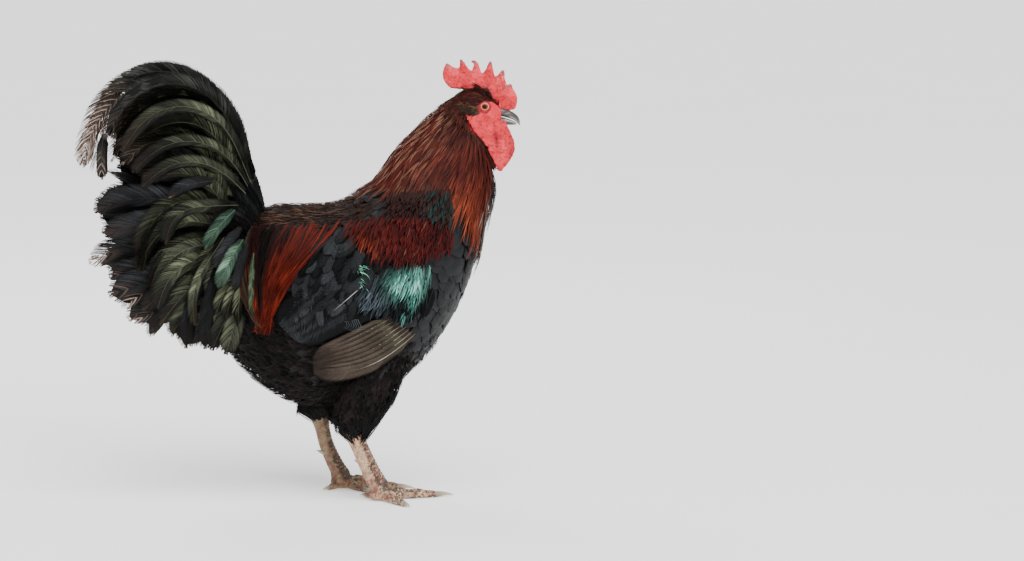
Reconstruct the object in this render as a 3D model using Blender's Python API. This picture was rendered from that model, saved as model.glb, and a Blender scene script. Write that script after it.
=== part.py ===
"""A Marans cock standing square on both feet, life size, as a still model in separate solids.

The bird looks along +X, its left side is +Y and the floor is z = 0. Sizes are in millimetres and
become metres where a mesh is made. Most forms are fans: stations that are each a straight line
across the side view, with a half width, so that the two ends draw the outline.
"""

import math

import bpy
import bmesh
import numpy as np

MM = 0.001
GAP = 0.35  # clear space between pieces that touch

# Each body station: back x, back z, throat or belly x, throat or belly z, half width
BODY = (
    (197, 507, 240, 466, 20),
    (173, 492, 246, 424, 27),
    (145, 466, 247, 392, 34),
    (121, 441, 243, 371, 42),
    (104, 416, 238, 349, 50),
    (87, 396, 231, 320, 58),
    (66, 382, 220, 286, 66),
    (45, 374, 201, 240, 73),
    (20, 372, 167, 187, 78),
    (-3, 372, 119, 144, 80),
    (-21, 372, 59, 117, 78),
    (-34, 370, 5, 117, 71),
    (-44, 366, -35, 135, 60),
    (-54, 361, -68, 161, 47),
    (-66, 352, -94, 196, 35),
    (-86, 340, -110, 234, 25),
    (-104, 322, -116, 270, 13),
)
BODY_FULLNESS = 0.12
NECK_END = 5.0  # station where the neck meets the torso
RUMP_END = 12.6  # station where the torso meets the tail
HACKLE_DEPTH = 5.5  # the neck's core lies this far inside the tips of its hackle
BODY_SIDES = 20  # how many points go round the body
VANE_THICK = 0.9
ROOT_SINK = 2.5  # how deep a body vane's root sits in the body
SHARP_EDGE = math.radians(35)  # edges bent more than this are drawn sharp

# Head stations run from the nape to the root of the bill: crown, jaw, half width
HEAD = (
    (197, 507, 240, 466, 19),
    (209, 514, 242, 464, 19.5),
    (221, 517, 245, 465, 19),
    (234, 515, 249, 467, 18),
    (245, 508, 253, 471, 15),
    (252, 501, 256, 475, 11),
    (256, 496, 257, 480, 7.5),
)
HEAD_FULLNESS = 0.15
UPPER_BILL = (
    (251, 498, 251, 484.5, 7.6),
    (258, 494, 257.5, 483, 7.2),
    (265, 491, 264, 481.2, 6.2),
    (272, 488, 270.5, 479.2, 5.0),
    (277.5, 483.5, 275, 476.8, 3.4),
    (280.3, 478, 278, 473.6, 2.0),
    (280.8, 473, 279.4, 471.2, 0.8),
)
LOWER_BILL = (
    (252, 483.6, 253, 474, 6.6),
    (258.5, 482, 259.5, 472.6, 5.9),
    (265, 480, 266, 472.2, 4.6),
    (271, 477.8, 271.5, 472.0, 3.0),
    (276.6, 474.8, 275.8, 472.2, 1.2),
)
NOSTRIL = (262.5, 488.2)
NOSTRIL_SIZE = (2.6, 2.0, 1.1)
NOSTRIL_OUT = 7.2
EYE = (236, 496)
EYE_RADIUS = 5.6
EYE_OUT = 13.4  # from the middle plane to the eyeball's centre
LID_RADIUS = 5.2
LID_THICK = 1.3
LID_LIFT = 0.3

# The comb's six points from the front: tip x, tip z, then the notch behind it
COMB_POINTS = (
    (269.5, 524, 263.5, 520.5),
    (259.5, 541.5, 250.5, 533.5),
    (242.5, 553.5, 233.8, 536.5),
    (223.0, 553.0, 220.0, 540.0),
    (206.0, 556.5, 204.2, 544.0),
    (188.3, 551.0, 183.4, 536.0),
)
COMB_FRONT = ((275, 494.5), (277.5, 504), (274.5, 514))
COMB_BACK = ((187, 523.5), (198, 517.5))
COMB_FOOT = ((264, 488), (253, 496), (241, 505), (228, 509), (213, 508))
COMB_HALF_THICK = 3.6
COMB_TIP_HALF_THICK = 1.5
# A tooth's edge hollows in front of its tip and behind it: share of the way across, share of the
# way up, and share of the comb's thickness there; and that share in the notch
COMB_HOLLOW_FRONT = (0.66, 0.34, 0.85)
COMB_HOLLOW_BACK = (0.34, 0.36, 0.8)
COMB_NOTCH_THICK = 0.9

# Wattle and ear lobe stations run down each flap: front x, z, back x, z, half thickness and
# distance out
WATTLE = (
    (262, 478, 239, 481, 2.0, 11.5),
    (268, 463, 237, 465, 2.8, 12.0),
    (273.5, 448, 240, 448, 3.2, 11.5),
    (273.5, 434, 246, 432, 3.2, 11.0),
    (267.5, 421, 250.5, 420, 2.6, 10.5),
    (259.5, 414.5, 254, 413.5, 1.2, 10.0),
)
LOBE = (
    (230, 491, 211, 491, 1.6, 20.5),
    (236, 479, 216, 478, 2.6, 20.5),
    (240, 466, 223, 465, 2.8, 18.5),
    (243, 456, 231, 453, 2.4, 15.5),
    (244, 448, 237, 446, 1.2, 14.0),
)

# The folded wing is an oval shield laid on the flank
WING_CENTRE = (88, 268)
WING_HALF = (110, 82)
WING_TILT = math.radians(20)
WING_THICK = 13.0
WING_EDGE = 1.6
WING_BED = 5  # how far the shield reaches into the flank before the flank is cut from it
WING_DOME = 2.4  # how flat the shield's middle is: its height falls with this power of the radius
# Shares of the shield's radius where its rings lie, and whether each is on its outer face
WING_RINGS = ((0.12, 1), (0.5, 1), (0.8, 1), (1.0, 1), (1.0, 0), (0.12, 0))

# Thigh stations run down the right drumstick: front x, z, back x, z, half width, distance out
THIGH = (
    (143, 205, 50, 200, 20, 34),
    (140, 176, 44, 166, 25, 40),
    (130, 152, 43, 137, 29, 43),
    (118, 124, 43, 112, 25, 44),
    (99, 101, 43, 94, 18, 44),
    (85, 83, 48, 79, 13, 44),
)
THIGH_FULLNESS = 0.1
LEG_STEP = 48  # the left leg stands this far behind the right one
# Shank stations run from the hock to the ankle: x, distance out, z, fore and aft radius, side radius
SHANK = (
    (61, 44, 101, 10.0, 8.6),
    (76.5, 43.5, 66, 9.8, 8.2),
    (91.5, 42.5, 32, 10.8, 8.8),
    (100, 42, 17, 12.2, 9.8),
)
SHANK_BROAD = {"right": 1.07, "left": 0.93}  # the near shank is seen broader than the far one
SCUTES = 9
SCUTE_STEP = 0.9
SCUTE_REACH = 0.012  # share of the shank over which a step falls
SPUR = ((82, 46), 16, 4.6)  # the spur's place on the shank, its length and its root's radius
SPUR_WAY = (-0.82, -0.42, 0.1)
SPUR_RISE = 3.0
FOOT = (102, 42)
PAD_RADIUS = (16, 13.5, 10.5)
PAD_HEIGHT = 8.6
# Toes: heading outwards from straight ahead in degrees, length, claw length, root radius
TOES = {
    "middle": (-12, 72, 14, 7.5),
    "inner": (-50, 47, 12, 6.5),
    "outer": (57, 53, 12, 6.7),
    "hind": (-137, 25, 10, 5.9),
}
TOE_TIP = 0.66  # share of the root radius that is left where the claw starts
TOE_JOINTS = (3, 0.09)  # how many times a toe swells along its length, and by what share
TOE_SIT = 0.86  # a toe's centre line lies this share of its radius above the floor
TOE_ROOT_RISE = {"middle": 3.0, "inner": 3.0, "outer": 3.0, "hind": 2.0}
CLAW_ARCH = 1.3
CLAW_TIP_HEIGHT = 1.2

# Tail tiers: number on each side, first and last root, then first and last heading, turn, length
# and width, distance out at the root and along the vane, and the share that is straight
TAIL_TIERS = {
    "great_sickle": (
        2, (-53, 345), (-58, 343), (105, 105), (152, 151), (416, 388), (25, 24),
        (4, 6), (13, 21), 0.21,
    ),
    "lesser_sickle": (
        5, (-58, 345), (-74, 325), (104, 112), (144, 92), (334, 172), (24, 22),
        (8, 16), (26, 38), 0.28,
    ),
    "curved_covert": (
        3, (-64, 346), (-82, 308), (138, 172), (118, 84), (194, 134), (24, 22),
        (18, 20), (40, 46), 0.05,
    ),
    "main_tail": (
        6, (-84, 325), (-90, 292), (116, 214), (14, 6), (208, 140), (38, 40),
        (4, 9), (6, 22), 0.0,
    ),
    "long_hanger": (
        5, (-78, 318), (-66, 275), (205, 252), (24, 6), (142, 86), (25, 22),
        (16, 28), (34, 46), 0.0,
    ),
    "upper_hanger": (
        3, (-62, 344), (-64, 292), (196, 248), (44, 12), (94, 70), (22, 22),
        (30, 38), (48, 54), 0.0,
    ),
}
MOST_STRAIGHT = 60  # vanes that turn through fewer degrees get fewer stations
BENT_STATIONS = (0, 0.2, 0.38, 0.54, 0.69, 0.83, 0.94, 1.0)
STRAIGHT_STATIONS = (0, 0.3, 0.62, 0.88, 1.0)
FAN_OUT_BY = 0.6  # share of a vane's length by which it has its full distance out
TAIL_ROLL = math.radians(28)  # vanes lean together over the back like a roof

# Hackle tiers down the neck: station of the roots, number round it, length at the throat
HACKLE_TIERS = (
    (0.1, 9, 104),
    (1.9, 11, 112),
    (3.8, 14, 100),
)
HACKLE_SHARE = 0.92  # of the room that each tier gives a lance
HACKLE_LENGTH = (0.82, 0.18)  # a lance's length: its middle share, and how much more at the throat
HACKLE_RISE = (-0.75, 1.1)  # how a lance rises over the core, in depths, at its root and beyond
CAPE_LIFT = (1.5, 1.6)  # and over the torso, in millimetres
CAPE_BLEND = 0.75  # stations over which the one becomes the other
LANCE_STATIONS = (0, 0.2, 0.6, 1.0)
# Saddle tiers on each side of the back: first and last root station, root angle, tip angle, number
SADDLE_TIERS = (
    ((8.9, 12.0), 12, 60, 4),
    ((9.4, 12.1), 38, 88, 4),
    ((10.3, 12.2), 64, 112, 4),
)
SADDLE_WIDTH = 13
SADDLE_LIFT = (0.7, 3.9)
SADDLE_REACH = 2.2  # stations that a saddle lance runs back
SADDLE_END = 12.4  # the last station that one reaches
SADDLE_STATIONS = (0, 0.15, 0.55, 1.0)
# Wing feather tiers: number, first and last root, heading, turn, length, width, first and last lift
# above the shield, and the distance out that the tips are drawn to, where they hang free
WING_TIERS = {
    "primary": (
        5, (122, 238), (146, 208), (211, 224), (-6, -34), (122, 104), (20, 18), (0.8, 0.8), 80,
    ),
    "secondary": (
        5, (112, 256), (58, 304), (206, 226), (6, 12), (112, 92), (30, 32), (1.6, 3.4), None,
    ),
    "covert": (
        5, (154, 292), (72, 313), (262, 240), (-14, -8), (52, 48), (24, 22), (3.4, 5.4), None,
    ),
}
QUILL_STATIONS = (0, 0.18, 0.5, 0.86, 1.0)
QUILL_SINK = 1.5
QUILL_LIFT = 0.5
SHIELD_LEAST = 1.5  # the wing's feathers stand at least this far out from the flank
WING_ROLL = math.radians(6)

COLOURS = {
    "copper": ((0.115, 0.022, 0.010, 1), 0.45),
    "black": ((0.012, 0.014, 0.013, 1), 0.38),
    "comb": ((0.62, 0.06, 0.07, 1), 0.5),
    "horn": ((0.10, 0.09, 0.08, 1), 0.3),
    "shank": ((0.36, 0.26, 0.20, 1), 0.6),
    "iris": ((0.48, 0.20, 0.07, 1), 0.1),
}


def material(slot):
    """The plain finish of one slot, made once."""
    found = bpy.data.materials.get(slot)
    if found is None:
        found = bpy.data.materials.new(slot)
        found.use_nodes = True
        colour, roughness = COLOURS[slot]
        shader = found.node_tree.nodes["Principled BSDF"]
        shader.inputs["Base Color"].default_value = colour
        shader.inputs["Roughness"].default_value = roughness
    return found


def unit(vectors):
    """The vectors at length one."""
    length = np.linalg.norm(vectors, axis=-1, keepdims=True)
    return vectors / np.maximum(length, 1e-9)


def between(pair, share):
    """The value that lies at a share of the way from the first to the last of a pair."""
    first, last = np.asarray(pair[0], float), np.asarray(pair[1], float)
    return first + (last - first) * share


def eased(share):
    """A smooth step from 0 to 1."""
    share = np.clip(share, 0, 1)
    return share * share * (3 - 2 * share)


def smooth(table, number):
    """A smooth curve through a table's rows, read at station numbers that need not be whole."""
    rows = np.asarray(table, float)
    number = np.clip(np.asarray(number, float), 0, len(rows) - 1)
    low = np.minimum(number.astype(int), len(rows) - 2)
    t = (number - low)[..., None]
    before, start = rows[np.maximum(low - 1, 0)], rows[low]
    end, after = rows[low + 1], rows[np.minimum(low + 2, len(rows) - 1)]
    return 0.5 * (
        2 * start
        + (end - before) * t
        + (2 * before - 5 * start + 4 * end - after) * t**2
        + (3 * start - before - 3 * end + after) * t**3
    )


def fan_point(table, number, angle, fullness=0.0, side=1):
    """Points of a fan. Angle 0 is a station's first end, half a turn its second end."""
    number, angle = np.broadcast_arrays(np.asarray(number, float), np.asarray(angle, float))
    row = smooth(table, number)
    first, second, half = row[..., 0:2], row[..., 2:4], row[..., 4]
    out = row[..., 5] if row.shape[-1] > 5 else 0.0
    middle = (first + second) / 2 + (first - second) / 2 * np.cos(angle)[..., None]
    round_ = np.sin(angle)
    y = half * round_ * (1 + fullness * (1 - round_**2))
    return np.stack([middle[..., 0], side * (out + y), middle[..., 1]], -1)


def fan_normal(table, number, angle, fullness=0.0, side=1):
    """The fan's outward normals, from small steps along and around it."""
    step = 0.02
    last = len(table) - 1
    number = np.clip(np.asarray(number, float), step, last - step)
    along = fan_point(table, number + step, angle, fullness, side)
    along = along - fan_point(table, number - step, angle, fullness, side)
    around = fan_point(table, number, angle + step, fullness, side)
    around = around - fan_point(table, number, angle - step, fullness, side)
    normal = unit(np.cross(around, along))
    here = fan_point(table, number, angle, fullness, side)
    top = fan_point(table, number, np.zeros_like(here[..., 0]), fullness, side)
    foot = fan_point(table, number, np.full_like(here[..., 0], math.pi), fullness, side)
    outward = here - (top + foot) / 2
    return normal * np.sign(np.sum(normal * outward, -1, keepdims=True))


def flank(x, z, table=BODY, fullness=BODY_FULLNESS):
    """How far out a fan's surface, the body's unless named, lies at places in the side view."""
    stations = np.linspace(0, len(table) - 1, 321)
    row = smooth(table, stations)
    back, front, half = row[:, 0:2], row[:, 2:4], row[:, 4]
    place = np.stack([np.ravel(x), np.ravel(z)], -1)[:, None, :].astype(float)
    across = front - back
    offset = place - back
    turn = across[:, 0] * offset[..., 1] - across[:, 1] * offset[..., 0]
    flips = (turn[:, :-1] > 0) != (turn[:, 1:] > 0)
    found = np.argmax(flips, axis=1)
    pick = np.arange(len(found))
    share = turn[pick, found] / (turn[pick, found] - turn[pick, found + 1] + 1e-12)
    line = (offset * across).sum(-1) / (across**2).sum(-1)
    down = line[pick, found] + share * (line[pick, found + 1] - line[pick, found])
    width = half[found] + share * (half[found + 1] - half[found])
    cosine = np.clip(1 - 2 * down, -1, 1)
    sine = np.sqrt(1 - cosine**2)
    y = width * sine * (1 + fullness * cosine**2)
    return np.where(flips.any(axis=1), y, 0.0).reshape(np.shape(x))


def wing_rise(x, z):
    """How far the wing's shield stands out from the flank at places in the side view."""
    c, s = math.cos(WING_TILT), math.sin(WING_TILT)
    dx, dz = x - WING_CENTRE[0], z - WING_CENTRE[1]
    u, v = (dx * c + dz * s) / WING_HALF[0], (-dx * s + dz * c) / WING_HALF[1]
    r = np.sqrt(u * u + v * v)
    dome = WING_EDGE + (WING_THICK - WING_EDGE) * (1 - np.minimum(r, 1) ** WING_DOME)
    return np.where(r < 1, dome, 0.0)


def solid(name, points, faces, slot):
    """An object with one closed mesh from points in millimetres, its faces turned outwards."""
    mesh = bpy.data.meshes.new(name)
    mesh.from_pydata([tuple(p) for p in np.asarray(points, float) * MM], [], faces)
    shaper = bmesh.new()
    shaper.from_mesh(mesh)
    bmesh.ops.recalc_face_normals(shaper, faces=shaper.faces)
    if shaper.calc_volume(signed=True) < 0:
        bmesh.ops.reverse_faces(shaper, faces=shaper.faces)
    shaper.to_mesh(mesh)
    shaper.free()
    thing = bpy.data.objects.new(name, mesh)
    bpy.context.scene.collection.objects.link(thing)
    mesh.materials.append(material(slot))
    return thing


def loft(name, rings, slot):
    """A solid skinned over rings of equally many points, closed with a face at each end.

    Its sides are triangles split one way, so that a grown copy runs evenly round the first."""
    rings = np.asarray(rings, float)
    count, sides = rings.shape[:2]
    faces = []
    for i in range(count - 1):
        for k in range(sides):
            a, b = i * sides + k, i * sides + (k + 1) % sides
            faces += [(a, b, b + sides), (a, b + sides, a + sides)]
    faces.append(tuple(range(sides)))
    faces.append(tuple(range((count - 1) * sides, count * sides)))
    return solid(name, rings.reshape(-1, 3), faces, slot)


def fan_solid(name, table, slot, sides=12, numbers=None, fullness=0.0, grow=0.0, side=1):
    """A fan as a solid. It can be grown outwards, and stand on either side."""
    if numbers is None:
        numbers = np.arange(len(table))
    angles = np.arange(sides) * 2 * math.pi / sides
    rings = []
    for number in numbers:
        ring = fan_point(table, number, angles, fullness, side)
        if grow:
            ring = ring + fan_normal(table, number, angles, fullness, side) * grow
        rings.append(ring)
    return loft(name, rings, slot)


def ball(name, centre, radii, slot, rings=7, sides=12, floor=None):
    """A rounded solid about a centre. With a floor, what would reach below it is flat there."""
    latitudes = np.linspace(-math.pi / 2, math.pi / 2, rings + 2)[1:-1]
    turns = np.arange(sides) * 2 * math.pi / sides
    points = []
    for latitude in latitudes:
        for turn in turns:
            out = math.cos(latitude)
            points.append((out * math.cos(turn), out * math.sin(turn), math.sin(latitude)))
    points = np.array(points) * radii + centre
    if floor is not None:
        points[:, 2] = np.maximum(points[:, 2], floor)
    return loft(name, points.reshape(rings, sides, 3), slot)


def rolled(normal, tangent, angle):
    """Normals turned about the way a vane runs, so that each vane laps over the next one."""
    across = unit(np.cross(normal, tangent))
    return unit(normal * math.cos(angle) + across * math.sin(angle))


def vane(name, centre, normal, width, slot, grow=0.0):
    """A feather's vane: a thin closed strip along its centre line, square to its normals.

    Both faces are split into triangles the same way, so a curved vane stays clear of itself."""
    tangent = unit(np.gradient(centre, axis=0))
    across = unit(np.cross(normal, tangent))
    up = unit(np.cross(tangent, across))
    centre = centre.copy()
    centre[0] -= tangent[0] * grow
    centre[-1] += tangent[-1] * grow
    half = (np.asarray(width, float) / 2 + grow)[:, None] * across
    rise = (VANE_THICK / 2 + grow) * up
    above, below = centre + rise, centre - rise
    corners = np.stack([above - half, above + half, below + half, below - half], 1)
    faces = []
    for i in range(len(centre) - 1):
        a, b, c, d = (4 * i + k for k in range(4))
        e, f, g, h = (4 * i + 4 + k for k in range(4))
        faces += [(a, b, f), (a, f, e), (d, g, c), (d, h, g), (a, e, h, d), (b, c, g, f)]
    last = 4 * (len(centre) - 1)
    faces += [(0, 3, 2, 1), (last, last + 1, last + 2, last + 3)]
    return solid(name, corners.reshape(-1, 3), faces, slot)


def blade_width(t, root=0.35, tip=0.16):
    """A broad feather's outline: soon at full width, with a rounded tip."""
    shape = np.minimum(1, root + t / 0.28 * (1 - root))
    end = np.sqrt(np.clip(1 - (np.clip(t - 1 + tip, 0, tip) / tip) ** 2, 0, 1))
    return shape * np.maximum(end, 0.25)


def lance_width(t):
    """A hackle's outline: widest near its root, then drawn out to a point."""
    return np.maximum(np.minimum(1, 0.6 + t * 1.6) * (1 - t**3), 0.12)


def arc(root, heading, turn, length, straight, t):
    """A planar curve in the side view that turns by an eased amount after its straight share."""
    fine = np.linspace(0, 1, 121)
    middle = (fine[1:] + fine[:-1]) / 2
    way = np.radians(heading + turn * eased((middle - straight) / (1 - straight)))
    step = length / (len(fine) - 1)
    x = root[0] + np.concatenate([[0], np.cumsum(np.cos(way) * step)])
    z = root[1] + np.concatenate([[0], np.cumsum(np.sin(way) * step)])
    return np.interp(t, fine, x), np.interp(t, fine, z)


def largest_surface(thing):
    """Keeps the closed surface that holds the most, and drops loose scraps."""
    shaper = bmesh.new()
    shaper.from_mesh(thing.data)
    left = set(shaper.faces)
    groups = []
    while left:
        group, edge = [], [left.pop()]
        while edge:
            face = edge.pop()
            group.append(face)
            for side in face.edges:
                for other in side.link_faces:
                    if other in left:
                        left.discard(other)
                        edge.append(other)
        groups.append(group)

    def held(group):
        total = 0.0
        for face in group:
            corners = [v.co for v in face.verts]
            for i in range(1, len(corners) - 1):
                total += corners[0].dot(corners[i].cross(corners[i + 1]))
        return abs(total)

    groups.sort(key=held, reverse=True)
    scraps = [face for group in groups[1:] for face in group]
    bmesh.ops.delete(shaper, geom=scraps, context="FACES")
    shaper.to_mesh(thing.data)
    shaper.free()


def boolean(target, others, operation, whole=False):
    """Joins a collection of closed objects to the target, or cuts them from it, and removes them.

    Only the largest closed surface is kept, unless the whole of a loose set is wanted."""
    group = bpy.data.collections.new(target.name + "_" + operation.lower())
    bpy.context.scene.collection.children.link(group)
    for other in others:
        bpy.context.scene.collection.objects.unlink(other)
        group.objects.link(other)
    modifier = target.modifiers.new("join", "BOOLEAN")
    modifier.operation = operation
    modifier.operand_type = "COLLECTION"
    modifier.collection = group
    modifier.solver = "MANIFOLD"
    bpy.context.view_layer.update()
    graph = bpy.context.evaluated_depsgraph_get()
    made = bpy.data.meshes.new_from_object(target.evaluated_get(graph))
    target.modifiers.clear()
    target.data = made
    for other in list(group.objects):
        bpy.data.objects.remove(other)
    bpy.data.collections.remove(group)
    if not whole:
        largest_surface(target)
    return target


def fused(pieces):
    """A loose set of pieces joined into the first one."""
    return boolean(pieces[0], pieces[1:], "UNION", whole=True)


def mirrored(y_sign):
    """The name of a side."""
    return "left" if y_sign > 0 else "right"


def body_cutter(grow=GAP, numbers=None):
    """The whole trunk grown by the gap, to cut from what lies on it."""
    if numbers is None:
        numbers = body_numbers(0, len(BODY) - 1)
    return fan_solid("cutter", BODY, "black", BODY_SIDES, numbers, BODY_FULLNESS, grow)


def throat_solid():
    """The neck's outline grown by the gap."""
    return body_cutter(GAP, body_numbers(0, NECK_END))


def body_numbers(first, last):
    """The stations of a stretch of the body, with its two ends."""
    inner = sorted([*range(len(BODY)), RUMP_END])
    return [first, *(n for n in inner if first + 0.3 < n < last - 0.3), last]


def shifted_end(rings, end, distance):
    """The rings with one end ring moved square to its own plane, into the piece."""
    ring = rings[end]
    other = rings[end - 1 if end else 1]
    normal = unit(np.cross(ring[0] - ring[len(ring) // 3], ring[0] - ring[2 * len(ring) // 3]))
    if np.dot(normal, other.mean(0) - ring.mean(0)) < 0:
        normal = -normal
    rings[end] = ring + normal * distance
    return rings


def trunk_piece(name, first, last, slot, inset=None):
    """A stretch of the body between two stations, with room for the piece in front of it."""
    angles = np.arange(BODY_SIDES) * 2 * math.pi / BODY_SIDES
    rings = []
    for number in body_numbers(first, last):
        ring = fan_point(BODY, number, angles, BODY_FULLNESS)
        if inset:
            ring = ring - fan_normal(BODY, number, angles, BODY_FULLNESS) * inset(number)
        rings.append(ring)
    return loft(name, shifted_end(rings, 0, GAP), slot)


def hackle_depth(number):
    """How far the neck's core lies inside its hackle: less beside the head and the torso."""
    number = np.asarray(number, float)
    return HACKLE_DEPTH * eased((number + 0.35) / 1.4) * (1 - 0.8 * eased((number - 3.8) / 1.2))


def hackle_vanes(grow=0.0):
    """The neck's cape: tiers of lances that overlap down the neck and over the shoulders."""
    made = []
    t = np.array(LANCE_STATIONS)
    for tier, (root, count, length) in enumerate(HACKLE_TIERS):
        for k in range(count):
            angle = (k + 0.5 * (tier % 2)) * 2 * math.pi / count + 0.02
            fine = np.linspace(root, root + 5, 101)
            line = fan_point(BODY, fine, np.full_like(fine, angle), BODY_FULLNESS)
            run = np.concatenate([[0], np.cumsum(np.linalg.norm(np.diff(line, axis=0), axis=1))])
            reach = length * (HACKLE_LENGTH[0] - HACKLE_LENGTH[1] * math.cos(angle))
            number = np.interp(t * reach, run, fine)
            angles = np.full_like(number, angle)
            centre = fan_point(BODY, number, angles, BODY_FULLNESS)
            normal = fan_normal(BODY, number, angles, BODY_FULLNESS)
            depth = hackle_depth(number)
            rise = depth * (HACKLE_RISE[0] + HACKLE_RISE[1] * t)
            on_neck = np.where(t == 0, -depth - ROOT_SINK, rise)
            wing = wing_rise(centre[:, 0], centre[:, 2]) * np.abs(np.sin(angles))
            on_torso = CAPE_LIFT[0] + CAPE_LIFT[1] * t + wing
            share = eased((number - NECK_END + CAPE_BLEND) / CAPE_BLEND)
            centre = centre + normal * (on_neck + (on_torso - on_neck) * share)[:, None]
            around = smooth(BODY, root + 1.0)
            pitch = math.pi * (math.dist(around[0:2], around[2:4]) / 2 + around[4]) / count
            width = HACKLE_SHARE * pitch * lance_width(t)
            made.append(vane("hackle", centre, normal, width, "copper", grow))
    return made


def saddle_vanes(side, grow=0.0):
    """The saddle's hackles: lances that fall from the back down each side of the rump."""
    made = []
    t = np.array(SADDLE_STATIONS)
    for tier, (stations, root_angle, tip_angle, count) in enumerate(SADDLE_TIERS):
        for k in range(count):
            root = between(stations, (k + 0.5 * (tier % 2)) / count)
            reach = min(SADDLE_END, root + SADDLE_REACH)
            number = root + (reach - root) * t
            angles = np.radians(root_angle + (tip_angle - root_angle) * t**1.25)
            centre = fan_point(BODY, number, angles, BODY_FULLNESS, side)
            normal = fan_normal(BODY, number, angles, BODY_FULLNESS, side)
            lift = np.where(t == 0, -ROOT_SINK, SADDLE_LIFT[0] + SADDLE_LIFT[1] * t)
            centre = centre + normal * lift[:, None]
            width = SADDLE_WIDTH * lance_width(t)
            made.append(vane("saddle", centre, normal, width, "copper", grow))
    return made


def wing_shield(side, grow=0.0):
    """The folded wing's body: an oval shield, thin at its edge, its back still inside the flank."""
    c, s = math.cos(WING_TILT), math.sin(WING_TILT)
    turns = np.arange(BODY_SIDES) * 2 * math.pi / BODY_SIDES
    rings = []
    for share, raised in WING_RINGS:
        u = share * np.cos(turns) * (WING_HALF[0] + grow)
        v = share * np.sin(turns) * (WING_HALF[1] + grow)
        x = WING_CENTRE[0] + u * c - v * s
        z = WING_CENTRE[1] + u * s + v * c
        rise = WING_EDGE + (WING_THICK - WING_EDGE) * (1 - share**WING_DOME)
        out = GAP + rise + grow if raised else -WING_BED
        rings.append(np.stack([x, side * (flank(x, z) + out), z], -1))
    return loft("shield", rings, "black")


def wing_surface(x, z):
    """How far out the folded wing's feathers lie at places in the side view."""
    return flank(x, z) + GAP + np.maximum(wing_rise(x, z), SHIELD_LEAST)


def wing_vanes(side, grow=0.0):
    """The wing's flight feathers and greater coverts, laid in tiers on the shield."""
    made = []
    t = np.array(QUILL_STATIONS)
    step = 2.0
    for tier, row in WING_TIERS.items():
        count, first, last, heading, turn, length, width, lift, free = row
        for k in range(count):
            share = k / (count - 1)
            root = between((first, last), share)
            bend = (between(v, share) for v in (heading, turn, length))
            x, z = arc(root, *bend, 0.0, t)
            rise = between(lift, 1) * t + lift[0] * (1 - t) + QUILL_LIFT
            y = wing_surface(x, z) + np.where(t == 0, -QUILL_SINK, rise)
            slope_x = (wing_surface(x + step, z) - wing_surface(x - step, z)) / (2 * step)
            slope_z = (wing_surface(x, z + step) - wing_surface(x, z - step)) / (2 * step)
            if free:
                y = y + (free - y) * eased(t)
                slope_x, slope_z = slope_x * (1 - t), slope_z * (1 - t)
            normal = unit(np.stack([-slope_x, np.full_like(x, 1.0), -slope_z], -1)) * (1, side, 1)
            centre = np.stack([x, side * y, z], -1)
            normal = rolled(normal, unit(np.gradient(centre, axis=0)), side * WING_ROLL)
            wide = between(width, share) * blade_width(t)
            made.append(vane(tier, centre, normal, wide, "black", grow))
    return made


def tail_vanes(side):
    """The tail's feathers, tier by tier, on one side."""
    made = []
    for tier, row in TAIL_TIERS.items():
        count, first, last, heading, turn, length, width, root_out, way_out, straight = row
        t = np.array(BENT_STATIONS if abs(turn[0]) > MOST_STRAIGHT else STRAIGHT_STATIONS)
        for k in range(count):
            share = k / max(1, count - 1)
            root = between((first, last), share)
            bend = (between(v, share) for v in (heading, turn, length))
            x, z = arc(root, *bend, straight, t)
            near, far = between(root_out, share), between(way_out, share)
            out = near + (far - near) * eased(t / FAN_OUT_BY)
            centre = np.stack([x, side * out, z], -1)
            tangent = unit(np.gradient(centre, axis=0))
            dorsal = unit(np.cross(tangent, np.array([0.0, 1.0, 0.0])))
            inward = np.array([0.0, -side, 0.0])
            across = unit(dorsal * math.cos(TAIL_ROLL) + inward * math.sin(TAIL_ROLL))
            normal = unit(np.cross(across, tangent))
            wide = between(width, share) * blade_width(t)
            made.append(vane(tier, centre, normal, wide, "black"))
    return made


def comb_table():
    """The comb's stations: for each point its hollow front, its tip, its back and the notch."""
    tops = [(x, z, COMB_HALF_THICK) for x, z in COMB_FRONT]
    for tip_x, tip_z, notch_x, notch_z in COMB_POINTS:
        x, z, _ = tops[-1]
        across, up, thick = COMB_HOLLOW_FRONT
        tops.append((x + (tip_x - x) * across, z + (tip_z - z) * up, COMB_HALF_THICK * thick))
        tops.append((tip_x, tip_z, COMB_TIP_HALF_THICK))
        across, up, thick = COMB_HOLLOW_BACK
        x, z = tip_x + (notch_x - tip_x) * across, notch_z + (tip_z - notch_z) * up
        tops.append((x, z, COMB_HALF_THICK * thick))
        tops.append((notch_x, notch_z, COMB_HALF_THICK * COMB_NOTCH_THICK))
    tops += [(x, z, COMB_HALF_THICK) for x, z in COMB_BACK]
    feet = smooth(COMB_FOOT, np.linspace(0, len(COMB_FOOT) - 1, len(tops)))
    return [(x, z, foot[0], foot[1], half) for (x, z, half), foot in zip(tops, feet)]


def sweep(name, path, across, along, slot, sides=8, floor=None):
    """A limb: oval rings square to a path, each with its two radii."""
    tangent = unit(np.gradient(path, axis=0))
    sideways = unit(np.cross(tangent, np.array([0.0, 0.0, 1.0])) + np.array([0.0, 1e-6, 0.0]))
    upward = unit(np.cross(sideways, tangent))
    turns = np.arange(sides) * 2 * math.pi / sides
    rings = []
    for i, centre in enumerate(path):
        ring = centre + np.outer(np.cos(turns) * along[i], upward[i])
        ring = ring + np.outer(np.sin(turns) * across[i], sideways[i])
        if floor is not None:
            ring[:, 2] = np.maximum(ring[:, 2], floor)
        rings.append(ring)
    return loft(name, rings, slot)


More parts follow.
